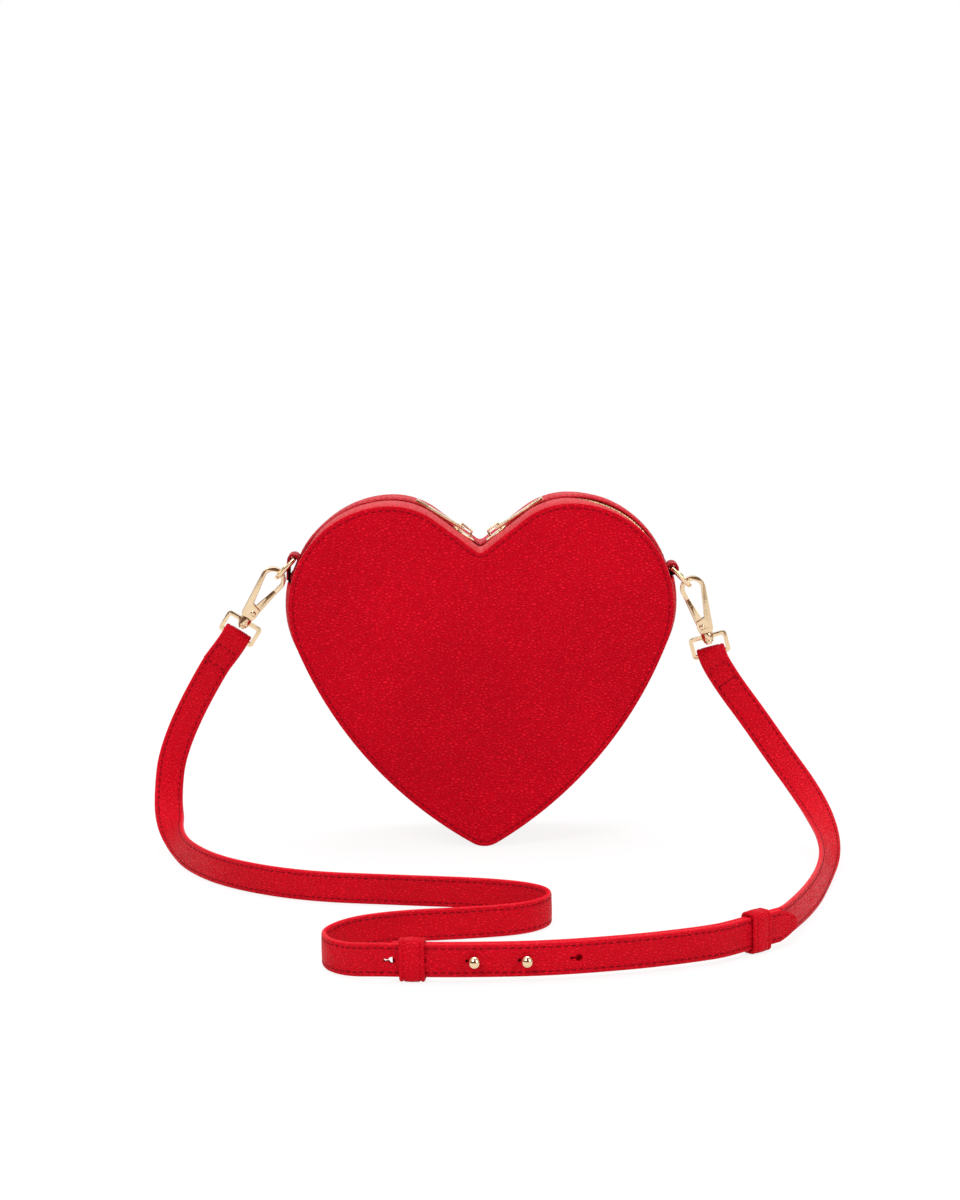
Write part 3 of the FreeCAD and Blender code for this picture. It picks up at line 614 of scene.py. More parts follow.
@dataclass(frozen=True)
class Leather(Finish):
    """Grained leather with painted shade and painted highlights in its grain, and a painted edge, tinted
    lighter as a painted highlight, where a piece marks one.
    """

    # The crease colour is painted shade, darkening the creases between the grain's pebbles.
    crease: Colour
    # The next colour is a painted highlight, laid on the grain's pebble tops.
    pebble_highlight: Colour
    grain: float
    depth: float
    roughness: float
    shine: float
    # The edge colour is the real edge paint, tinted lighter and pinker as a painted highlight on the rounded
    # edges.
    edge: Colour | None = None
    tone_scale: ClassVar[float] = 16.0
    mark_scale: ClassVar[float] = 60.0
    crease_shade_share: ClassVar[float] = 0.44
    top_highlight_share: ClassVar[float] = 0.17
    crease_gloss: ClassVar[float] = 0.12
    mark_gloss: ClassVar[float] = 0.10
    edge_gloss: ClassVar[float] = 0.12

    def dress(self, recipe: MaterialRecipe) -> None:
        """Grain, painted shade in its creases, painted highlights on its pebble tops, slow tone, and the
        painted edge, tinted lighter as a painted highlight.

        Args:
            recipe: the material's recipe.
        """
        grain = recipe.effect(Effect.GRAIN, self.grain)
        colour = self.tint(recipe, self.tone_scale)
        marks = recipe.effect(Effect.MARKS, self.mark_scale)["Mask"]
        crease, height = grain["Crease"], grain["Height"]
        # Painted shade: the creases between the pebbles are darkened in the colour.
        colour = recipe.mix(recipe.math("MULTIPLY", crease, self.crease_shade_share), colour, self.crease)
        # Painted highlight: the pebble tops are lightened in the colour.
        colour = recipe.mix(recipe.spread(crease, 0.62, 0.0, 0.0, self.top_highlight_share), colour, self.pebble_highlight)
        gloss = recipe.math("ADD", recipe.math("MULTIPLY", marks, self.mark_gloss), self.roughness)
        gloss = recipe.math("ADD", gloss, recipe.math("MULTIPLY", crease, self.crease_gloss))
        if self.edge is not None:
            painted = recipe.add("ShaderNodeAttribute", attribute_name="painted_edge").outputs["Fac"]
            # Edge paint, partly real colour and partly a painted highlight on the rounded edges.
            colour = recipe.mix(painted, colour, self.edge)
            height = recipe.math("MULTIPLY", height, recipe.math("SUBTRACT", 1.0, painted))
            gloss = recipe.math("SUBTRACT", gloss, recipe.math("MULTIPLY", painted, self.edge_gloss))
        recipe.bump(height, 0.9, self.depth)
        looks = {"Base Color": colour, "Roughness": gloss, "Specular IOR Level": self.shine}
        recipe.fill(recipe.shader, looks)


@dataclass(frozen=True)
class Thread(Finish):
    """Twisted sewing thread."""

    fineness: ClassVar[float] = 900.0

    def dress(self, recipe: MaterialRecipe) -> None:
        """Fine twisted strands.

        Args:
            recipe: the material's recipe.
        """
        inputs = {"Vector": recipe.where, "Scale": self.fineness, "Distortion": 1.5}
        recipe.bump(recipe.add("ShaderNodeTexWave", inputs).outputs["Fac"], 0.5, 0.1 * MM)
        colour = self.tint(recipe, self.fineness)
        recipe.fill(recipe.shader, {"Base Color": colour, "Roughness": 0.7, "Specular IOR Level": 0.08})


@dataclass(frozen=True)
class PlatedMetal(Finish):
    """Polished plated metal with fine handling marks."""

    roughness: float
    tone_scale: ClassVar[float] = 70.0
    mark_scale: ClassVar[float] = 260.0
    mark_gloss: ClassVar[float] = 0.10
    slot: ClassVar[Slot] = Slot.GOLD
    ending: ClassVar[str] = "gold"

    def dress(self, recipe: MaterialRecipe) -> None:
        """Slow tone, fine marks, and a slight waviness of the polish.

        Args:
            recipe: the material's recipe.
        """
        tone = recipe.effect(Effect.TONE, self.tone_scale)["Mask"]
        marks = recipe.effect(Effect.MARKS, self.mark_scale)["Mask"]
        gloss = recipe.math("ADD", recipe.math("MULTIPLY", marks, self.mark_gloss), self.roughness)
        recipe.bump(tone, 0.12, 0.4 * MM)
        colour = recipe.mix(tone, self.deep, self.light)
        recipe.fill(recipe.shader, {"Base Color": colour, "Roughness": gloss, "Metallic": 1.0})


@dataclass(frozen=True)
class Woven(Finish):
    """Woven cloth or tape."""

    threads: float
    tone_scale: ClassVar[float] = 40.0
    slot: ClassVar[Slot] = Slot.TAPE
    ending: ClassVar[str] = "cloth"

    def dress(self, recipe: MaterialRecipe) -> None:
        """Threads, the gaps between them, and a soft sheen.

        Args:
            recipe: the material's recipe.
        """
        weave = recipe.effect(Effect.WEAVE, self.threads)
        tone = recipe.effect(Effect.TONE, self.tone_scale)["Mask"]
        colour = recipe.mix(weave["Gap"], recipe.mix(tone, self.light, self.deep), self.deep)
        recipe.bump(weave["Height"], 0.6, 0.15 * MM)
        recipe.fill(recipe.shader, {"Base Color": colour, "Roughness": 0.78, "Sheen Weight": 0.25})


@dataclass(frozen=True)
class PressedBoard(Finish):
    """Pressed grey board with short fibres."""

    fibre_scale: ClassVar[float] = 180.0
    tone_scale: ClassVar[float] = 30.0

    def dress(self, recipe: MaterialRecipe) -> None:
        """Fibres and slow tone.

        Args:
            recipe: the material's recipe.
        """
        fibres = recipe.effect(Effect.MARKS, self.fibre_scale)["Mask"]
        tone = recipe.effect(Effect.TONE, self.tone_scale)["Mask"]
        colour = recipe.mix(fibres, recipe.mix(tone, self.light, self.deep), self.deep)
        recipe.bump(fibres, 0.4, 0.2 * MM)
        recipe.fill(recipe.shader, {"Base Color": colour, "Roughness": 0.9})


# In each leather the crease colour is painted shade in the grain's creases, and the colour after it is a
# painted highlight on the pebble tops.
PANEL_LEATHER = Leather(
    "red_grained_leather", light=(0.630, 0.0009, 0.0130, 1.0), deep=(0.530, 0.0005, 0.0105, 1.0),
    crease=(0.260, 0.0003, 0.0050, 1.0), pebble_highlight=(0.800, 0.0260, 0.0440, 1.0),
    grain=720.0, depth=0.44 * MM, roughness=0.36, shine=0.032,
)
STRIP_LEATHER = Leather(
    "red_strip_leather", light=(0.630, 0.0030, 0.0150, 1.0), deep=(0.530, 0.0020, 0.0120, 1.0),
    crease=(0.300, 0.0010, 0.0060, 1.0), pebble_highlight=(0.800, 0.0320, 0.0500, 1.0),
    grain=760.0, depth=0.30 * MM, roughness=0.42, shine=0.26,
)
# The strap's edge colour is its edge paint, tinted lighter as a painted highlight.
STRAP_LEATHER = Leather(
    "red_strap_leather", light=(0.630, 0.0012, 0.0125, 1.0), deep=(0.530, 0.0008, 0.0100, 1.0),
    crease=(0.330, 0.0005, 0.0055, 1.0), pebble_highlight=(0.780, 0.0240, 0.0420, 1.0),
    grain=820.0, depth=0.32 * MM, roughness=0.36, shine=0.05, edge=(0.590, 0.0060, 0.0180, 1.0),
)
TAB_LEATHER = Leather(
    "red_tab_leather", light=(0.480, 0.0030, 0.0140, 1.0), deep=(0.390, 0.0018, 0.0110, 1.0),
    crease=(0.190, 0.0010, 0.0055, 1.0), pebble_highlight=(0.560, 0.0100, 0.0260, 1.0),
    grain=900.0, depth=0.26 * MM, roughness=0.36, shine=0.12,
)
SEWING_THREAD = Thread("red_sewing_thread", (0.250, 0.0007, 0.0070, 1.0), (0.135, 0.0004, 0.0040, 1.0))
GOLD = PlatedMetal("pale_gold_plate", (0.880, 0.680, 0.440, 1.0), (0.790, 0.580, 0.360, 1.0), 0.10)
TOOTH_GOLD = PlatedMetal("zip_tooth_gold", (0.860, 0.660, 0.370, 1.0), (0.740, 0.540, 0.280, 1.0), 0.24)
SPRING_STEEL = PlatedMetal("blued_spring_steel", (0.520, 0.520, 0.540, 1.0), (0.380, 0.390, 0.420, 1.0), 0.30)
TAPE_CLOTH = Woven("zip_tape_cloth", (0.300, 0.0060, 0.0150, 1.0), (0.130, 0.0025, 0.0070, 1.0), 520.0)
LINING_CLOTH = Woven("red_lining_cloth", (0.420, 0.0150, 0.0280, 1.0), (0.240, 0.0060, 0.0130, 1.0), 420.0)
BOARD = PressedBoard("grey_board", (0.420, 0.390, 0.340, 1.0), (0.280, 0.255, 0.220, 1.0))


def cad_copy(node: str, finish: Finish, body: str, rounding: float, segments: int = 3) -> Piece:
    """A dressed copy of a CAD node's mesh with its corners rounded.

    Args:
        node: the CAD node, which the copy stands for.
        finish: its finish.
        body: the body that it rides on.
        rounding: the rounding's width.
        segments: how many steps the rounding has.

    Returns:
        The new piece.
    """
    piece = bpy.data.objects.new(f"{node}_{finish.ending}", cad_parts[node].data.copy())
    piece.data.name = piece.name
    bpy.context.scene.collection.objects.link(piece)
    edit(piece, merge, lambda: bpy.ops.mesh.dissolve_limited(angle_limit=math.radians(0.5)))
    bevel(piece, rounding, segments, 30.0)
    smooth(piece, 35.0)
    return finish.put_on(piece, body, node)


# The purse


@dataclass
class HeartLine:
    """The heart's outline in XZ: tip, sides, lobes, crowns, flanks and cleft, all arcs and one straight."""

    lobe_x: float = 43.5 * MM
    lobe_z: float = 118.5 * MM
    lobe_radius: float = 50.0 * MM
    crown_z: float = 132.5 * MM
    crown_radius: float = 36.0 * MM
    side_x: float = -94.386 * MM
    side_z: float = 172.273 * MM
    side_radius: float = 198.0 * MM
    side_start: float = -59.506
    side_end: float = -21.305
    tip_radius: float = 12.0 * MM
    cleft_z: float = 148.280 * MM
    cleft_radius: float = 3.0 * MM
    flank_angle: float = 37.5
    gusset_end: float = 12.0
    middle: tuple[float, float] = (0.0, 98.0 * MM)
    tip_steps: int = 8
    side_steps: int = 46
    low_lobe_steps: int = 14
    high_lobe_steps: int = 28
    crown_steps: int = 12
    flank_steps: int = 10
    cleft_steps: int = 6

    def _arc(self, x: float, z: float, radius: float, start: float, end: float, steps: int) -> np.ndarray:
        """Points of an arc without its last one."""
        angles = np.radians(np.linspace(start, end, steps + 1)[:-1])
        return np.stack([x + radius * np.cos(angles), z + radius * np.sin(angles)], axis=1)

    def low_half(self, inset: float) -> np.ndarray:
        """The right half from the tip to where the lower gusset ends.

        Args:
            inset: how far inside the outline.

        Returns:
            Rows of x and z.
        """
        stop = self.gusset_end
        tip = (0.0, self.tip_radius, self.tip_radius - inset)
        side = (self.side_x, self.side_z, self.side_radius - inset)
        lobe = (self.lobe_x, self.lobe_z, self.lobe_radius - inset)
        return np.concatenate(
            [
                self._arc(*tip, -90.0, self.side_start, self.tip_steps),
                self._arc(*side, self.side_start, self.side_end, self.side_steps),
                self._arc(*lobe, self.side_end, stop, self.low_lobe_steps),
                self._arc(*lobe, stop, stop + 1.0, 1),
            ]
        )

    def high_half(self, inset: float, start: float | None = None) -> np.ndarray:
        """The right half from the end of the lower gusset to the cleft.

        Args:
            inset: how far inside the outline.
            start: the angle on the lobe at which it starts.

        Returns:
            Rows of x and z.
        """
        begin = self.gusset_end if start is None else start
        slope = self.flank_angle
        top = (self.lobe_x, self.crown_z, self.crown_radius - inset)
        low = (0.0, self.cleft_z, self.cleft_radius + inset)
        lobe = (self.lobe_x, self.lobe_z, self.lobe_radius - inset)
        foot = self._arc(*top, 90.0 + slope, 91.0 + slope, 1)
        cleft = self._arc(*low, slope - 90.0, -90.0, self.cleft_steps)
        return np.concatenate(
            [
                self._arc(*lobe, begin, 90.0, self.high_lobe_steps),
                self._arc(*top, 90.0, 90.0 + slope, self.crown_steps),
                foot + np.linspace(0.0, 1.0, self.flank_steps + 1)[:-1, None] * (cleft[:1] - foot),
                cleft,
                np.array([[0.0, self.cleft_z - self.cleft_radius - inset]]),
            ]
        )

    @staticmethod
    def _mirrored(half: np.ndarray) -> np.ndarray:
        """The same half on the other side, run the other way."""
        return half[::-1] * np.array([-1.0, 1.0])

    def low_run(self, inset: float) -> np.ndarray:
        """The lower gusset's line, from the left end round the tip to the right end."""
        half = self.low_half(inset)
        return np.concatenate([self._mirrored(half), half[1:]])

    def high_run(self, inset: float, start: float) -> np.ndarray:
        """The zip's line, from the right end over the cleft to the left end."""
        half = self.high_half(inset, start)
        return np.concatenate([half, self._mirrored(half)[1:]])

    def ring(self, inset: float) -> np.ndarray:
        """The whole outline from the tip up the right side and back to the tip."""
        half = np.concatenate([self.low_half(inset), self.high_half(inset)[1:]])
        return np.concatenate([half, self._mirrored(half)[1:]])


HEART = HeartLine()


def in_space(line: np.ndarray, depth: float) -> np.ndarray:
    """A line in XZ put at a depth along Y."""
    return np.stack([line[:, 0], np.broadcast_to(depth, line[:, 0].shape), line[:, 1]], axis=1)


@dataclass
class Stitching:
    """Rows of sewn stitches."""

    length: float = 2.5 * MM
    width: float = 0.85 * MM
    height: float = 0.5 * MM
    slant: float = 5.0
    taper: float = 3.2
    sink: float = 1.6

    def model(self) -> Piece:
        """One stitch: a short thread, thick in the middle and drawn down at its ends.

        Returns:
            The stitch.
        """
        clear_selection()
        bpy.ops.mesh.primitive_cylinder_add(vertices=6, radius=0.5, depth=1.0, end_fill_type="NOTHING")
        stitch = bpy.context.object
        edit(stitch, lambda: bpy.ops.mesh.subdivide(number_cuts=2))
        for vertex in stitch.data.vertices:
            across, rise, reach = vertex.co
            swell = 1.0 - self.taper * abs(reach) ** 3
            lift = (rise * swell - self.sink * reach * reach) * self.height
            vertex.co = (reach * self.length, across * swell * self.width, lift)
        edit(stitch, turn_outward)
        return stitch

    def row(self, line: np.ndarray, upward: np.ndarray, pitch: float, ends: float = 0.0) -> list[Matrix]:
        """Places of stitches along a line.

        Args:
            line: rows of three along the seam.
            upward: the surface's outward direction at each of them.
            pitch: from stitch to stitch.
            ends: length left free at both ends.

        Returns:
            One frame for each stitch.
        """
        run = along(line)
        count = max(int((run[-1] - 2.0 * ends) / pitch), 1)
        step = (run[-1] - 2.0 * ends) / count
        middles = ends + step * (np.arange(count) + 0.5)
        places = at(line, run, middles)
        near = 0.8 * MM
        heads = unit(at(line, run, middles + near) - at(line, run, middles - near))
        ups = unit(at(upward, run, middles))
        turn = Matrix.Rotation(math.radians(self.slant), 4, "Z")
        return [placing(p, h, u) @ turn for p, h, u in zip(places, heads, ups)]

    def sew(self, name: str, frames: Sequence[Matrix], body: str | None) -> Piece:
        """A piece of sewn stitches.

        Args:
            name: what they sew.
            frames: their places.
            body: the body that they ride on, unless that is said elsewhere.

        Returns:
            The stitches.
        """
        return SEWING_THREAD.put_on(copies(f"{name}_stitches", self.model(), frames), body)


@dataclass
class BagShell:
    """The leather body: two crowned panels, the lower gusset and the two zip strips, with their seams."""

    half_depth: float = 28.0 * MM
    seam_inset: float = 2.4 * MM
    seam_depth: float = 0.36 * MM
    stitch_pitch: float = 3.4 * MM
    crown: float = 1.5 * MM
    crown_power: float = 2.6
    wave_scale: float = 28.0
    wave_height: float = 0.35 * MM
    wave_fade: float = 6.0
    rim_depth: float = 0.5 * MM
    bulge: float = 1.3 * MM
    end_bulge: float = 2.4 * MM
    gusset_seam: float = 25.4 * MM
    gusset_wall: float = 1.4 * MM
    gusset_lap: float = 1.0 * MM
    gusset_rows: int = 33
    tip_bulge: float = 0.7 * MM
    tip_settles: float = 16.0 * MM
    ends_from: float = 82.0 * MM
    ends_over: float = 32.0 * MM
    front_sag: float = 1.1 * MM
    back_swell: float = 0.6 * MM
    zip_shows: tuple[float, float] = (52.0, 92.0)
    strip_seam: float = 7.2
    strip_edge: float = 24.8
    strip_fade: tuple[float, float] = (22.0, 8.0)
    strip_start: float = 9.0
    strip_sewn_from: float = 13.0
    strip_pitch: float = 3.0 * MM
    rim: tuple[tuple[float, float], ...] = (
        (1.6, -3.2), (0.6, -3.1), (0.15, -2.7), (0.0, -2.1), (0.02, -1.4), (0.22, -0.7), (0.6, -0.2),
        (1.1, 0.0), (1.6, -0.04), (2.0, -0.2), (2.25, -0.38), (2.4, -0.44), (2.55, -0.38), (2.85, -0.18),
        (3.4, 0.02), (4.4, 0.16), (6.0, 0.3), (8.0, 0.4),
    )
    inner: tuple[float, ...] = (0.955, 0.90, 0.82, 0.72, 0.6, 0.47, 0.34, 0.21, 0.1, 0.0)
    strip: tuple[tuple[float, float], ...] = (
        (25.4, 1.1), (24.8, 0.5), (23.6, 0.1), (21.5, -0.2), (18.5, -0.4), (15.0, -0.5), (11.5, -0.5),
        (9.0, -0.48), (7.9, -0.42), (7.2, -0.28), (6.6, -0.38), (5.9, -0.25), (5.35, 0.05), (5.2, 0.5),
        (5.4, 1.0), (6.4, 1.5), (9.0, 1.8),
    )
    pieces: list[Piece] = field(default_factory=list)

    def panel(self, face: Face) -> Piece:
        """A crowned panel with a rolled rim and a drawn-in seam.

        Args:
            face: front or back.

        Returns:
            The panel.
        """
        rows = [in_space(HEART.ring(i * MM), face.value * (self.half_depth + d * MM)) for i, d in self.rim]
        outer = rows[-1]
        middle = np.array(HEART.middle)
        for share in self.inner:
            ring = outer.copy()
            ring[:, [0, 2]] = middle + share * (outer[:, [0, 2]] - middle)
            ring[:, 1] = outer[:, 1] + face.value * self.crown * (1.0 - share**self.crown_power)
            if share > 0.0:
                spots = [(p[0] * self.wave_scale, 3.0 * face.value, p[2] * self.wave_scale) for p in ring]
                waves = np.array([noise.noise(Vector(spot)) for spot in spots])
                ring[:, 1] += face.value * self.wave_height * waves * min(1.0, (1.0 - share) * self.wave_fade)
            rows.append(ring)
        panel = loft(f"{face.half}_panel_leather", np.array(rows))
        face_towards(panel, lambda c: np.tile([0.0, face.value, 0.0], (len(c), 1)))
        PANEL_LEATHER.put_on(panel, "bag", f"{face.half}_panel")
        panel.data.materials.append(STRIP_LEATHER.material())
        for polygon in panel.data.polygons:
            polygon.material_index = int(abs(polygon.center.y) < self.half_depth - self.rim_depth)
        return panel

    def seam(self, face: Face) -> Piece:
        """The row of stitches round a panel.

        Args:
            face: front or back.

        Returns:
            The stitches.
        """
        line = in_space(HEART.ring(self.seam_inset), face.value * (self.half_depth - self.seam_depth))
        upward = np.tile([0.0, face.value, 0.0], (len(line), 1))
        stitching = Stitching()
        return stitching.sew(f"{face.half}_panel", stitching.row(line, upward, self.stitch_pitch), "bag")

    def lower_gusset(self) -> Piece:
        """The band round the tip and sides, full between its seams and settled flat under the tip.

        Returns:
            The gusset.
        """
        lap = self.gusset_lap
        height = HEART.low_run(lap)[:, 1:]
        settle = 1.0 - np.exp(-((height / self.tip_settles) ** 2))
        high = eased(np.clip((height - self.ends_from) / self.ends_over, 0.0, 1.0))
        rows = []
        for depth in np.linspace(-1.0, 1.0, self.gusset_rows):
            swell = (1.0 - abs(depth) ** 3.2) ** 0.8
            outer = HEART.low_run(lap - swell * (self.bulge + lap))
            full = HEART.low_run(lap - swell * (self.end_bulge + lap))
            flat = HEART.low_run(lap - swell * self.tip_bulge)
            line = flat + (outer - flat) * settle
            rows.append(in_space(line + (full - line) * high, depth * self.gusset_seam))
        gusset = loft("lower_gusset_leather", np.array(rows))
        face_towards(gusset, lambda c: c - np.array([0.0, 0.0, 100.0 * MM]))
        modify(gusset, "SOLIDIFY", thickness=self.gusset_wall, offset=-1.0)
        bevel(gusset, 0.4 * MM, 2, 50.0)
        smooth(gusset, 40.0)
        return PANEL_LEATHER.put_on(gusset, "bag", "lower_gusset")

    def strip_line(self, depth: float, inset: float, start: float, face: Face) -> np.ndarray:
        """A line along a zip strip; the strip sags at the front and swells at the back where the zip shows.

        Args:
            depth: how far from the middle along Y, in millimetres.
            inset: how far inside the heart's outline, in millimetres.
            start: the angle on the lobe at which it starts.
            face: which half.

        Returns:
            Rows of x and z.
        """
        line = HEART.high_run(inset * MM, start)
        shift = self.front_sag if face is Face.FRONT else -self.back_swell
        moved = HEART.high_run(inset * MM + shift, start)
        turn = np.degrees(np.arctan2(line[:, 1] - HEART.lobe_z, np.abs(line[:, 0]) - HEART.lobe_x))
        reach = np.where(line[:, 0] > 0.0, self.zip_shows[1], self.zip_shows[0])
        along_fade, across_fade = self.strip_fade
        share = np.clip((reach - turn) / along_fade, 0.0, 1.0)
        share = share * np.clip((self.strip_edge - depth) / across_fade, 0.0, 1.0)
        return line + (moved - line) * eased(share)[:, None]

    def zip_strip(self, face: Face) -> Piece:
        """A strip of the upper gusset, rounded between the panel's seam and its fold at the zip.

        Args:
            face: which half.

        Returns:
            The strip.
        """
        start = self.strip_start
        rows = [in_space(self.strip_line(d, i, start, face), face.value * d * MM) for d, i in self.strip]
        strip = loft(f"zip_strip_{face.half}_leather", np.array(rows))
        face_towards(strip, lambda c: c - np.array([0.0, 0.0, 90.0 * MM]))
        return STRIP_LEATHER.put_on(strip, "bag", f"zip_strip_{face.half}")

    def strip_stitches(self, face: Face) -> Piece:
        """The row of stitches beside the zip.

        Args:
            face: which half.

        Returns:
            The stitches.
        """
        seam, start = self.strip_seam, self.strip_sewn_from
        line = self.strip_line(seam, -0.36, start, face)
        outward = in_space(self.strip_line(seam, -1.5, start, face) - line, 0.0)
        line = in_space(line, face.value * seam * MM)
        stitching = Stitching(length=2.3 * MM, width=0.6 * MM, height=0.4 * MM)
        places = stitching.row(line, outward, self.strip_pitch, ends=1.0 * MM)
        return stitching.sew(f"zip_strip_{face.half}", places, "bag")

    def build(self) -> None:
        """Builds and dresses the whole shell."""
        for face in Face:
            for make in (self.panel, self.seam, self.zip_strip, self.strip_stitches):
                self.pieces.append(make(face))
        self.pieces.append(self.lower_gusset())


@dataclass
class Zip:
    """The zip: tapes, two rows of teeth, two sliders and their pulls."""

    tape_round: float = 0.12 * MM
    tooth_round: float = 0.16 * MM
    slider_round: float = 0.45 * MM
    pull_round: float = 0.35 * MM
    pieces: list[Piece] = field(default_factory=list)

    def build(self) -> None:
        """Builds and dresses the zip."""
        for face in Face:
            self.pieces.append(cad_copy(f"zip_tape_{face.half}", TAPE_CLOTH, "bag", self.tape_round, 1))
            self.pieces.append(cad_copy(f"zip_teeth_{face.half}", TOOTH_GOLD, "bag", self.tooth_round, 1))
        for side in Side:
            for part, rounding in (("slider", self.slider_round), ("pull", self.pull_round)):
                node = f"{side.value}_{part}"
                self.pieces.append(cad_copy(node, GOLD, node, rounding))


@dataclass
class SideFitting:
    """One side's leather tab, ring and swivel clasp."""

    side: Side
    tab_round: float = 0.4 * MM
    cast_round: float = 0.55 * MM
    wire_round: float = 0.5 * MM
    gate_round: float = 0.3 * MM
    rivet_points: int = 33
    dome: tuple[tuple[float, float], ...] = (
        (0.0, 0.42), (0.45, 0.38), (0.85, 0.26), (1.18, 0.08), (1.26, -0.06), (1.0, -0.08),
    )
    pieces: list[Piece] = field(default_factory=list)

    def rivet(self) -> Piece:
        """The gate's rivet, with a low dome at both ends.

        Returns:
            The rivet.
        """
        node = f"{self.side.value}_gate_pin"
        low, high = (np.array(corner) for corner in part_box(node))
        centre, half = (low + high) / 2.0, (high - low) / 2.0
        ends = [(half[0] * reach, half[1] + rise * MM) for reach, rise in self.dome]
        profile = [*ends, *((reach, -depth) for reach, depth in reversed(ends))]
        turn = np.linspace(0.0, 2.0 * math.pi, self.rivet_points)
        circle = np.stack([np.cos(turn), np.sin(turn)], axis=1)
        rows = [centre + in_space(reach * circle, depth) for reach, depth in profile]
        rivet = loft(f"{node}_gold", np.array(rows))
        smooth(rivet, 50.0)
        return GOLD.put_on(rivet, f"{self.side.value}_hook", node)

    def build(self) -> None:
        """Builds and dresses the fitting."""
        name = self.side.value
        self.pieces += [cad_copy(f"{name}_tab", TAB_LEATHER, "bag", self.tab_round), self.rivet()]
        metal = (
            ("d_ring", "ring", self.wire_round), ("hook", "hook", self.cast_round),
            ("gate", "gate", self.gate_round), ("strap_loop", "loop", self.wire_round),
        )
        for node, body, rounding in metal:
            self.pieces.append(cad_copy(f"{name}_{node}", GOLD, f"{name}_{body}", rounding))


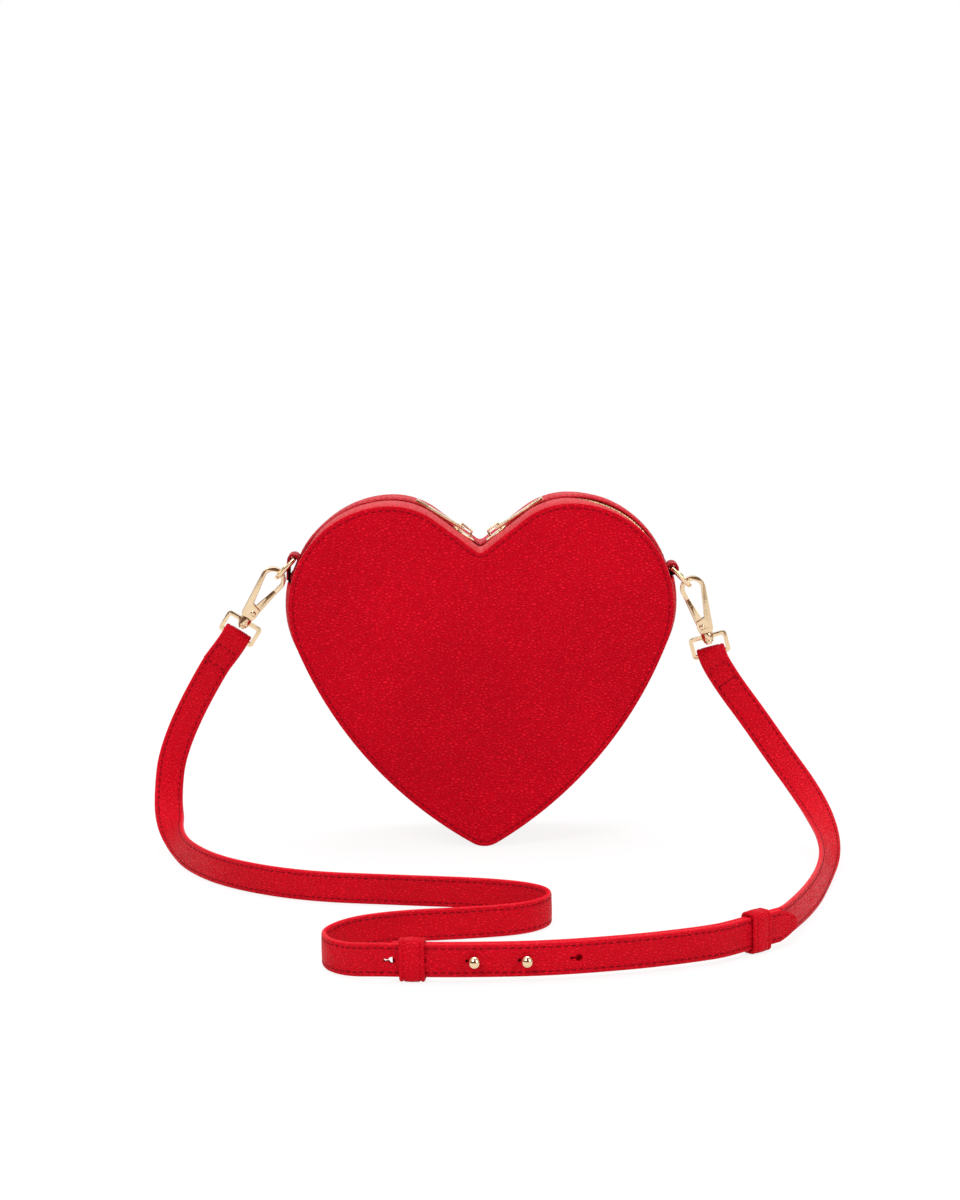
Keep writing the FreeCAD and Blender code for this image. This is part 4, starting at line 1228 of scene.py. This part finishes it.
@dataclass
class Ribbon:
    """One half of the strap: a folded, stitched leather ribbon that follows a smooth line."""

    name: str
    side: Side
    route: Route
    pointed: bool
    width: float = 14.0 * MM
    thickness: float = 2.2 * MM
    steps: int = 10
    cuts: tuple[float, float, float] = (47.0 * MM, 64.0 * MM, 140.0 * MM)
    creases: tuple[float, ...] = (35.0 * MM, 45.0 * MM)
    crease_depths: tuple[float, ...] = (0.34, 0.62)
    crease_width: float = 0.6 * MM
    still_from: Point = (0.0, -0.14, 0.0)
    still_margin: float = 0.55
    edge_paint: tuple[float, float] = (0.65 * MM, 0.35 * MM)
    stitch_from_edge: float = 2.0 * MM
    stitch_pitch: float = 3.1 * MM
    stitch_sink: float = 0.08 * MM
    cross_before: float = 1.3 * MM
    cross_rise: float = 0.14 * MM
    cross_pitch: float = 2.5 * MM
    tip_length: float = 10.0 * MM
    tip_width: float = 0.16

    def __post_init__(self) -> None:
        """Reads the smooth line and the way across it."""
        centres = [tuple(v * MM for v in place) for place, _ in self.route]
        uppers = [
            tuple(p * MM + a * self.width / 2.0 for p, a in zip(place, across))
            for place, across in self.route
        ]
        self.line = spline_points(f"{self.name}_line", centres, self.steps)
        upper = spline_points(f"{self.name}_upper", uppers, self.steps)
        self.heading = unit(np.gradient(self.line, axis=0))
        lean = upper - self.line
        lean = lean - np.sum(lean * self.heading, axis=1, keepdims=True) * self.heading
        self.across = unit(lean)
        self.normal = np.cross(self.across, self.heading)
        self.run = along(self.line)

    def profile(self) -> np.ndarray:
        """The ribbon's section: rounded edges and a drawn-in line where it is stitched.

        Returns:
            Rows of across and out.
        """
        half = self.width / 2.0 / MM
        skin = self.thickness / 2.0 / MM
        seam = half - self.stitch_from_edge / MM
        top = [
            (half, 0.0), (half - 0.04, 0.42), (half - 0.22, 0.78), (half - 0.55, 0.98), (half - 1.0, skin),
            (seam + 0.45, skin), (seam, skin - 0.2), (seam - 0.45, skin), (seam - 1.4, skin + 0.08),
            (0.0, skin + 0.12),
        ]
        upper = top + [(-w, n) for w, n in reversed(top[:-1])]
        lower = [(w, -n) for w, n in reversed(upper[1:-1])]
        return np.array(upper + lower + upper[:1]) * MM

    def span(self, stretch: Stretch) -> tuple[int, int]:
        """The ends of a stretch.

        Args:
            stretch: which stretch.

        Returns:
            The numbers of its first and last point on the line.
        """
        borders = [0, *(int(np.argmin(np.abs(self.run - cut))) for cut in self.cuts), len(self.run) - 1]
        place = list(Stretch).index(stretch)
        return borders[place], borders[place + 1]

    def body(self, stretch: Stretch) -> Piece:
        """A stretch of the leather ribbon, with the creases of its sewn end.

        Args:
            stretch: which stretch.

        Returns:
            The leather.
        """
        first, last = self.span(stretch)
        section = self.profile()
        wide, out = section[:, :1], section[:, 1:]
        shares = np.ones(len(self.run))
        if self.pointed:
            left = np.clip((self.run[-1] - self.run) / self.tip_length, 0.0, 1.0)
            shares = self.tip_width + (1.0 - self.tip_width) * np.sqrt(left)
        thin = np.ones(len(self.run))
        for crease, depth in zip(self.creases, self.crease_depths):
            thin -= depth * np.exp(-(((self.run - crease) / self.crease_width) ** 2))
        rows = [
            self.line[k] + wide * shares[k] * self.across[k] + out * thin[k] * self.normal[k]
            for k in range(first, last + 1)
        ]
        caps = [np.tile(self.line[k], (len(section), 1)) for k in (first, last)]
        ribbon = loft(f"{self.name}_{stretch.name.lower()}_leather", np.array([caps[0], *rows, caps[1]]))
        self._mark_edge(ribbon)
        smooth(ribbon, 50.0)
        return STRAP_LEATHER.put_on(ribbon, None)

    def follow(self, piece: Piece, stretch: Stretch) -> None:
        """Hangs a piece of the sewn stretch on its loop; pieces of the other stretches are only fixed where
        they lie.

        Args:
            piece: the leather or the stitches.
            stretch: where it is.
        """
        ring, hook, loop = (f"{self.side.value}_{body}" for body in ("ring", "hook", "loop"))
        if stretch is Stretch.SEWN:
            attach(piece, loop)
        elif stretch is Stretch.TWIST:
            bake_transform(piece)
        elif stretch is Stretch.BEND:
            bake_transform(piece)
        else:
            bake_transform(piece)

    def _mark_edge(self, ribbon: Piece) -> None:
        """Marks the painted edges by how far each point lies from the line.

        Args:
            ribbon: the leather.
        """
        points = np.array([vertex.co for vertex in ribbon.data.vertices])
        nearest = [int(np.argmin(np.sum((self.line - point) ** 2, axis=1))) for point in points]
        off = np.abs(np.sum((points - self.line[nearest]) * self.across[nearest], axis=1))
        reach, fade = self.edge_paint
        marks = np.clip((off - self.width / 2.0 + reach) / fade, 0.0, 1.0).astype(np.float32)
        attribute = ribbon.data.attributes.new("painted_edge", "FLOAT", "POINT")
        attribute.data.foreach_set("value", marks)

    def stitches(self, stretch: Stretch, free: tuple[float, float]) -> Piece:
        """Two rows of stitches on both faces of a stretch, and the rows across the sewn end.

        Args:
            stretch: which stretch.
            free: where the rows start along the line, and how much they leave free at its end.

        Returns:
            The stitches.
        """
        stitching = Stitching(length=2.3 * MM, width=0.7 * MM, height=0.46 * MM, slant=4.0)
        first, last = self.span(stretch)
        start, end = max(self.run[first], free[0]), min(self.run[last], self.run[-1] - free[1])
        frames: list[Matrix] = []
        cut = (self.run >= start - 1e-9) & (self.run <= end + 1e-9)
        seam = self.width / 2.0 - self.stitch_from_edge
        rise = self.thickness / 2.0 - self.stitch_sink
        for edge in (-1.0, 1.0):
            for face in (-1.0, 1.0):
                line = self.line + edge * seam * self.across + face * rise * self.normal
                frames += stitching.row(line[cut], face * self.normal[cut], self.stitch_pitch)
        for distance in (self.creases if stretch is Stretch.SEWN else ()):
            centre, across, normal = self.read(distance - self.cross_before, self.across, self.normal)
            for face in (-1.0, 1.0):
                middle = centre + face * (rise + self.cross_rise) * normal
                line = np.stack([middle - seam * across, middle + seam * across])
                frames += stitching.row(line, np.stack([face * normal] * 2), self.cross_pitch)
        return stitching.sew(f"{self.name}_{stretch.name.lower()}", frames, None)

    def read(self, distance: float, *ways: np.ndarray) -> tuple[np.ndarray, ...]:
        """The place at a distance along the line, and directions there.

        Args:
            distance: how far along the line.
            ways: directions at the line's points, as rows of three.

        Returns:
            The place, then each direction.
        """
        spot = np.array([distance])
        return (at(self.line, self.run, spot)[0], *(unit(at(way, self.run, spot))[0] for way in ways))

    def station(self, x: float, after: float) -> tuple[np.ndarray, ...]:
        """The place, heading and outward direction where the line passes an x.

        Args:
            x: the place along X.
            after: how far along the line it lies at least.

        Returns:
            The place, the heading and the normal there.
        """
        beyond = self.run > after
        order = np.argsort(self.line[beyond, 0])
        distance = np.interp(x, self.line[beyond, 0][order], self.run[beyond][order])
        return self.read(distance, self.heading, self.normal)


UPRIGHT: Point = (0.0, 0.0, 1.0)


def on_edge(line: Sequence[tuple[float, float]], z: float) -> Route:
    """Route points of a ribbon that stands on its edge at a height."""
    return tuple(((x, y, z), UPRIGHT) for x, y in line)


def folded(back: Route) -> Route:
    """Route points of a sewn end: from its back round the loop, and the same way down its front."""
    front = (((x, -y, z), across) for (x, y, z), across in reversed(back[:-1]))
    return (*back, *front)


LEFT_ACROSS: Point = (0.843, 0.0, -0.537)
LEFT_FOLD = folded(
    (
        ((-132.5, 1.2, 87.2), (0.79, 0.0, -0.61)),
        ((-127.3, 1.2, 93.7), (0.82, 0.0, -0.57)),
        ((-123.9, 2.4, 98.2), LEFT_ACROSS),
        ((-121.6, 2.7, 101.8), LEFT_ACROSS),
        ((-120.9, 2.4, 103.0), LEFT_ACROSS),
        ((-120.3, 1.4, 103.8), LEFT_ACROSS),
        ((-120.1, 0.0, 104.1), LEFT_ACROSS),
    )
)
RIGHT_ACROSS: Point = (-0.97, 0.0, -0.242)
RIGHT_FOLD = folded(
    (
        ((123.4, 1.2, 72.4), (-0.83, 0.0, -0.56)),
        ((118.3, 1.2, 80.4), (-0.86, 0.0, -0.51)),
        ((115.4, 2.4, 85.5), (-0.92, 0.0, -0.39)),
        ((113.9, 2.7, 89.4), (-0.96, 0.0, -0.28)),
        ((113.5, 2.4, 90.8), RIGHT_ACROSS),
        ((113.3, 1.4, 91.7), RIGHT_ACROSS),
        ((113.2, 0.0, 92.1), RIGHT_ACROSS),
    )
)
LEFT_RISER: Route = (
    ((-146.8, 0.0, 62.0), (0.86, 0.0, -0.51)),
    ((-154.8, -2.0, 42.0), (0.92, 0.1, -0.38)),
    ((-156.3, -7.0, 28.0), (0.95, 0.25, -0.15)),
    ((-155.2, -20.0, 17.0), (0.80, 0.50, 0.30)),
    ((-149.5, -42.0, 8.8), (0.25, 0.30, 0.92)),
    ((-140.0, -69.0, 7.0), (0.05, 0.18, 0.98)),
)
RIGHT_RISER: Route = (
    ((145.0, -155.0, 6.8), (-0.08, 0.25, 0.96)),
    ((156.0, -112.0, 7.4), (-0.22, 0.18, 0.96)),
    ((161.6, -82.0, 11.5), (-0.72, 0.25, 0.62)),
    ((161.2, -53.0, 18.0), (-0.97, 0.12, 0.10)),
    ((156.0, -30.0, 27.0), (-0.96, 0.1, -0.26)),
    ((146.2, -13.0, 40.0), (-0.90, 0.0, -0.44)),
    ((134.2, -3.0, 57.5), (-0.85, 0.0, -0.53)),
)
FLOOR_Z = 7.2
FRONT_Z = 8.9
LEFT_FLOOR = on_edge(
    (
        (-119.0, -102.0), (-83.0, -127.5), (-40.0, -137.0), (4.0, -146.0), (25.0, -158.0), (29.0, -174.0),
        (18.0, -189.0), (-8.0, -195.0), (-36.0, -198.0), (-57.0, -207.0), (-68.0, -224.0), (-66.0, -239.0),
        (-57.0, -248.5),
    ),
    FLOOR_Z,
)
FRONT_LONG = on_edge(
    (
        (-44.0, -255.0), (-30.0, -256.8), (-8.0, -258.4), (24.0, -258.2), (58.3, -251.2), (79.85, -243.8),
        (96.55, -236.4), (104.55, -229.4), (113.55, -221.5), (121.55, -214.5), (127.55, -209.3),
        (130.5, -206.7),
    ),
    FRONT_Z,
)
FRONT_SHORT = on_edge(
    (
        (-38.0, -253.3), (-30.0, -254.4), (-8.0, -256.0), (24.0, -255.8), (57.6, -248.8), (79.0, -241.6),
        (95.0, -234.6), (103.0, -227.6), (112.0, -219.75), (120.0, -212.75), (126.0, -207.5),
    ),
    FRONT_Z,
)


@dataclass
class Strap:
    """The strap: two ribbons, two keepers, and the studs that button them together."""

    keyholes: tuple[float, ...] = (-47.0, -26.0, -5.0, 16.0, 37.0)
    studs: tuple[float, ...] = (-5.0, 16.0)
    stud_radius: float = 2.5 * MM
    neck_radius: float = 1.25 * MM
    neck_from: float = 0.8
    neck_stretch: float = 12.0
    stud_lift: float = 1.1 * MM + 0.25 * MM
    hole_radius: float = 1.5 * MM
    hole_depth: float = 12.0 * MM
    slit_length: float = 3.0 * MM
    slit_width: float = 0.9 * MM
    slit_end: float = 0.75
    slit_depth: float = 11.0 * MM
    long_front: float = 0.55
    short_front: float = 0.20
    keepers: tuple[tuple[str, str, float], ...] = (
        ("fixed_keeper", "bag", -30.0), ("sliding_keeper", "keeper", 112.5),
    )
    keeper_length: float = 10.5 * MM
    keeper_half: tuple[float, float] = (2.3 * MM + 0.45 * MM, 7.0 * MM + 0.35 * MM)
    keeper_corner: float = 1.2 * MM
    keeper_crown: float = 1.55
    keeper_lip: float = 0.1
    keeper_edge: tuple[tuple[float, float], ...] = (
        (0.0, 0.5), (0.12, 1.05), (0.5, 1.38), (1.1, 1.42), (1.55, 1.25), (1.8, 1.05), (2.05, 1.25),
        (2.6, 1.44),
    )
    stitched_from: float = 34.0 * MM
    free_ends: tuple[float, float] = (9.0 * MM, 3.0 * MM)
    pieces: list[Piece] = field(default_factory=list)

    def ribbons(self) -> tuple[Ribbon, Ribbon]:
        """The strap's two ribbons.

        Returns:
            The long and the short half.
        """
        long_route = (*LEFT_FOLD, *LEFT_RISER, *LEFT_FLOOR, *FRONT_LONG)
        short_route = (*RIGHT_FOLD, *reversed(RIGHT_RISER), *reversed(FRONT_SHORT))
        return (
            Ribbon("strap_long", Side.LEFT, long_route, True),
            Ribbon("strap_short", Side.RIGHT, short_route, False),
        )

    def _outward(self, ribbon: Ribbon, x: float) -> tuple[np.ndarray, np.ndarray, np.ndarray]:
        """The place and heading on the front run at an x in millimetres, and the way out of its front."""
        place, heading, normal = ribbon.station(x * MM, self.long_front)
        return place, heading, normal * (-1.0 if normal[1] > 0.0 else 1.0)

    @staticmethod
    def _cut(body: Piece, cutter: Piece, place: Matrix) -> None:
        """Takes a cutter out of a body and removes it.

        Args:
            body: the body.
            cutter: the cutter.
            place: where it cuts.
        """
        cutter.data.transform(place @ cutter.matrix_basis)
        cutter.matrix_basis = Matrix.Identity(4)
        modify(body, "BOOLEAN", operation="DIFFERENCE", object=cutter, solver="MANIFOLD")
        bpy.data.objects.remove(cutter)

    def punch(self, ribbon: Ribbon, body: Piece) -> None:
        """Cuts the keyholes through a ribbon.

        Args:
            ribbon: the ribbon's line.
            body: its leather.
        """
        slit = self.slit_length
        for x in self.keyholes:
            place = placing(*self._outward(ribbon, x))
            for reach, radius in ((0.0, self.hole_radius), (-slit, self.slit_width * self.slit_end)):
                clear_selection()
                bpy.ops.mesh.primitive_cylinder_add(
                    vertices=24, radius=radius, depth=self.hole_depth, location=(reach, 0.0, 0.0)
                )
                self._cut(body, bpy.context.object, place)
            clear_selection()
            bpy.ops.mesh.primitive_cube_add(
                size=1.0, location=(-slit / 2.0, 0.0, 0.0), scale=(slit, self.slit_width, self.slit_depth)
            )
            self._cut(body, bpy.context.object, place)
        smooth(body, 50.0)

    def keeper(self, node: str, body: str, ribbons: tuple[Ribbon, Ribbon], x: float) -> Piece:
        """A leather keeper round both ribbons.

        Args:
            node: the CAD node that it stands for.
            body: the body that it rides on.
            ribbons: the long and the short half.
            x: where it sits, in millimetres.

        Returns:
            The keeper.
        """
        first, heading, _ = ribbons[0].station(x * MM, self.long_front)
        second = ribbons[1].station(x * MM, self.short_front)[0]
        centre = (first + second) / 2.0
        up = np.array(UPRIGHT)
        out = unit(np.cross(heading, up))
        deep, tall = (half - self.keeper_corner for half in self.keeper_half)
        half = self.keeper_length / 2.0 / MM
        start = [(reach - half, rise) for reach, rise in self.keeper_edge]
        end = [(-reach, rise) for reach, rise in reversed(start)]
        inner = half - self.keeper_lip
        inside = [(inner, 0.0), (0.0, 0.0), (-inner, 0.0)]
        section = [*start, (0.0, self.keeper_crown), *end, *inside, start[0]]
        rows = []
        for base, (cx, cz) in enumerate(((1, 1), (-1, 1), (-1, -1), (1, -1))):
            corner = centre + cx * deep * out + cz * tall * up
            for angle in np.radians(90.0 * base + 15.0 * np.arange(7)):
                side = math.cos(angle) * out + math.sin(angle) * up
                rows.append(
                    [corner + heading * s * MM + side * (self.keeper_corner + t * MM) for s, t in section]
                )
        rows.append(rows[0])
        keeper = loft(f"{node}_leather", np.array(rows))
        smooth(keeper, 50.0)
        return STRAP_LEATHER.put_on(keeper, body, node)

    def stud_heads(self, ribbon: Ribbon) -> Piece:
        """The ball studs: a ball on a waisted neck, standing out of the keyholes.

        Args:
            ribbon: the ribbon that they button.

        Returns:
            The studs.
        """
        clear_selection()
        bpy.ops.mesh.primitive_uv_sphere_add(segments=32, ring_count=20, radius=self.stud_radius)
        model = bpy.context.object
        for vertex in model.data.vertices:
            drop = -vertex.co.z / self.stud_radius
            if drop > self.neck_from:
                below = (drop - self.neck_from) * self.neck_stretch
                vertex.co.z = -self.stud_radius * (self.neck_from + below)
                reach = math.hypot(vertex.co.x, vertex.co.y)
                if reach > 1e-9:
                    vertex.co.x *= self.neck_radius / reach
                    vertex.co.y *= self.neck_radius / reach
        frames = []
        for x in self.studs:
            place, heading, outward = self._outward(ribbon, x)
            centre = place + outward * (self.stud_lift + self.stud_radius * self.neck_from)
            frames.append(placing(centre, heading, outward))
        return GOLD.put_on(copies("strap_studs_gold", model, frames), "bag", "strap_studs")

    def build(self) -> None:
        """Builds and dresses the strap."""
        halves = self.ribbons()
        runs: list[Piece] = []
        threads: list[Piece] = []
        for half, free_end in zip(halves, self.free_ends):
            for stretch in Stretch:
                leather = half.body(stretch)
                if stretch is Stretch.RUN and half.pointed:
                    self.punch(half, leather)
                stitches = half.stitches(stretch, (self.stitched_from, free_end))
                half.follow(leather, stretch)
                half.follow(stitches, stretch)
                self.pieces += [leather, stitches]
            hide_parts(half.name)
            runs.append(leather)
            threads.append(stitches)
        keepers = [self.keeper(node, body, halves, x) for node, body, x in self.keepers]
        heads = self.stud_heads(halves[0])
        for half, leather, riders in zip(halves, runs, ([threads[0]], [threads[1], *keepers, heads])):
            path = half.line[half.span(Stretch.RUN)[0]:]
        self.pieces += [*keepers, heads]


@dataclass
class HiddenParts:
    """CAD nodes whose shape is right as it is, given their finishes."""

    dressed: tuple[tuple[Finish, tuple[str, ...]], ...] = (
        (BOARD, ("front_board", "back_board")),
        (LINING_CLOTH, ("front_lining", "back_lining", "gusset_lining")),
        (SPRING_STEEL, ("left_gate_spring", "right_gate_spring")),
        (GOLD, ("stud_screws",)),
    )

    def build(self) -> None:
        """Puts the finishes on the nodes."""
        for finish, nodes in self.dressed:
            for node in nodes:
                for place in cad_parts[node].material_slots:
                    place.link = "OBJECT"
                    place.material = finish.material()


@dataclass
class Studio:
    """Pale floor, soft light and the camera at the photograph's angle."""

    camera_at: Point = (-0.0005, -1.290, 0.305)
    pitch: float = 8.245
    roll: float = -0.9
    lens: float = 79.2
    white: Colour = (0.94, 0.94, 0.94, 1.0)
    front_tone: Colour = (0.16, 0.085, 0.06, 1.0)
    back_tone: Colour = (0.95, 0.94, 0.93, 1.0)
    floor_fade: tuple[float, float, float, float] = (0.30, 0.85, 0.86, 1.0)
    lamps: tuple[tuple[str, Point, Point, tuple[float, float], float], ...] = (
        ("key_lamp", (-0.75, -1.15, 1.35), (0.0, -0.05, 0.09), (0.9, 0.9), 20.0),
        ("fill_lamp", (1.05, -0.95, 0.75), (0.0, -0.05, 0.09), (0.7, 1.0), 9.0),
        ("top_lamp", (0.1, 0.25, 1.5), (0.0, -0.05, 0.10), (1.1, 0.8), 14.0),
    )

    def camera(self) -> None:
        """Sets the camera."""
        data = bpy.data.cameras.new("camera")
        data.sensor_fit = "VERTICAL"
        data.sensor_height = 36.0
        data.lens = self.lens
        data.clip_end = 100.0
        camera = bpy.data.objects.new("camera", data)
        camera.rotation_mode = "ZYX"
        camera.rotation_euler = (math.radians(90.0 - self.pitch), 0.0, math.radians(self.roll))
        camera.location = self.camera_at
        bpy.context.scene.collection.objects.link(camera)
        bpy.context.scene.camera = camera

    def floor(self) -> None:
        """A wide pale floor that keeps the purse's shadow."""
        clear_selection()
        bpy.ops.mesh.primitive_plane_add(size=60.0, location=(0.0, 0.0, -0.2 * MM))
        floor = bpy.context.object
        floor.name = "floor"
        material = bpy.data.materials.new("pale_floor")
        recipe = Recipe.on(material)
        paint = recipe.add("ShaderNodeBsdfDiffuse", {"Color": self.white})
        plain = recipe.add("ShaderNodeEmission", {"Color": WHITE, "Strength": 1.0})
        path = recipe.add("ShaderNodeLightPath").outputs
        seen = recipe.math("MAXIMUM", path["Is Camera Ray"], path["Is Glossy Ray"])
        where = recipe.add("ShaderNodeTexCoord").outputs["Object"]
        reach = recipe.add("ShaderNodeVectorMath", {0: where}, operation="LENGTH").outputs["Value"]
        amount = recipe.math("MULTIPLY", seen, recipe.spread(reach, *self.floor_fade))
        both = recipe.add("ShaderNodeMixShader", {0: amount, 1: paint.outputs[0], 2: plain.outputs[0]})
        recipe.add("ShaderNodeOutputMaterial", {"Surface": both.outputs[0]})
        floor.data.materials.append(material)

    def lamp(self, name: str, place: Point, aim: Point, size: tuple[float, float], power: float) -> None:
        """A soft rectangular lamp.

        Args:
            name: the lamp's name.
            place: where it hangs.
            aim: what it points at.
            size: its width and height.
            power: its power in watts.
        """
        data = bpy.data.lights.new(name, "AREA")
        data.shape = "RECTANGLE"
        data.size, data.size_y = size
        data.energy = power
        lamp = bpy.data.objects.new(name, data)
        lamp.location = place
        lamp.rotation_euler = (Vector(aim) - Vector(place)).to_track_quat("-Z", "Y").to_euler()
        bpy.context.scene.collection.objects.link(lamp)

    def world(self) -> None:
        """Surroundings that are dim and warm in front and pale behind, and white to the camera."""
        world = bpy.data.worlds.new("surroundings")
        bpy.context.scene.world = world
        recipe = Recipe.on(world)
        way = recipe.add("ShaderNodeTexCoord").outputs["Generated"]
        parts = recipe.add("ShaderNodeSeparateXYZ", {0: way}).outputs
        colour = recipe.mix(recipe.spread(parts["Y"], -0.4, 0.5, 0.0, 1.0), self.front_tone, self.back_tone)
        soft = recipe.add("ShaderNodeBackground", {"Color": colour, "Strength": 1.0}).outputs[0]
        plain = recipe.add("ShaderNodeBackground", {"Color": WHITE, "Strength": 1.0}).outputs[0]
        seen = recipe.add("ShaderNodeLightPath").outputs["Is Camera Ray"]
        both = recipe.add("ShaderNodeMixShader", {0: seen, 1: soft, 2: plain})
        recipe.add("ShaderNodeOutputWorld", {"Surface": both.outputs[0]})

    def build(self) -> None:
        """Sets the whole studio."""
        self.camera()
        self.floor()
        self.world()
        for settings in self.lamps:
            self.lamp(*settings)
        bpy.context.scene.view_settings.view_transform = "Standard"


def main() -> None:
    """Builds the purse and its studio in order."""
    logging.basicConfig(level=logging.INFO, format="%(name)s: %(message)s")
    Studio().build()
    for part in (Strap(), BagShell(), Zip(), *(SideFitting(side) for side in Side)):
        part.build()
        for piece in part.pieces:
            LOG.info("%s: %d faces", piece.name, len(piece.data.polygons))
    HiddenParts().build()


if __name__ == "__main__":
    main()
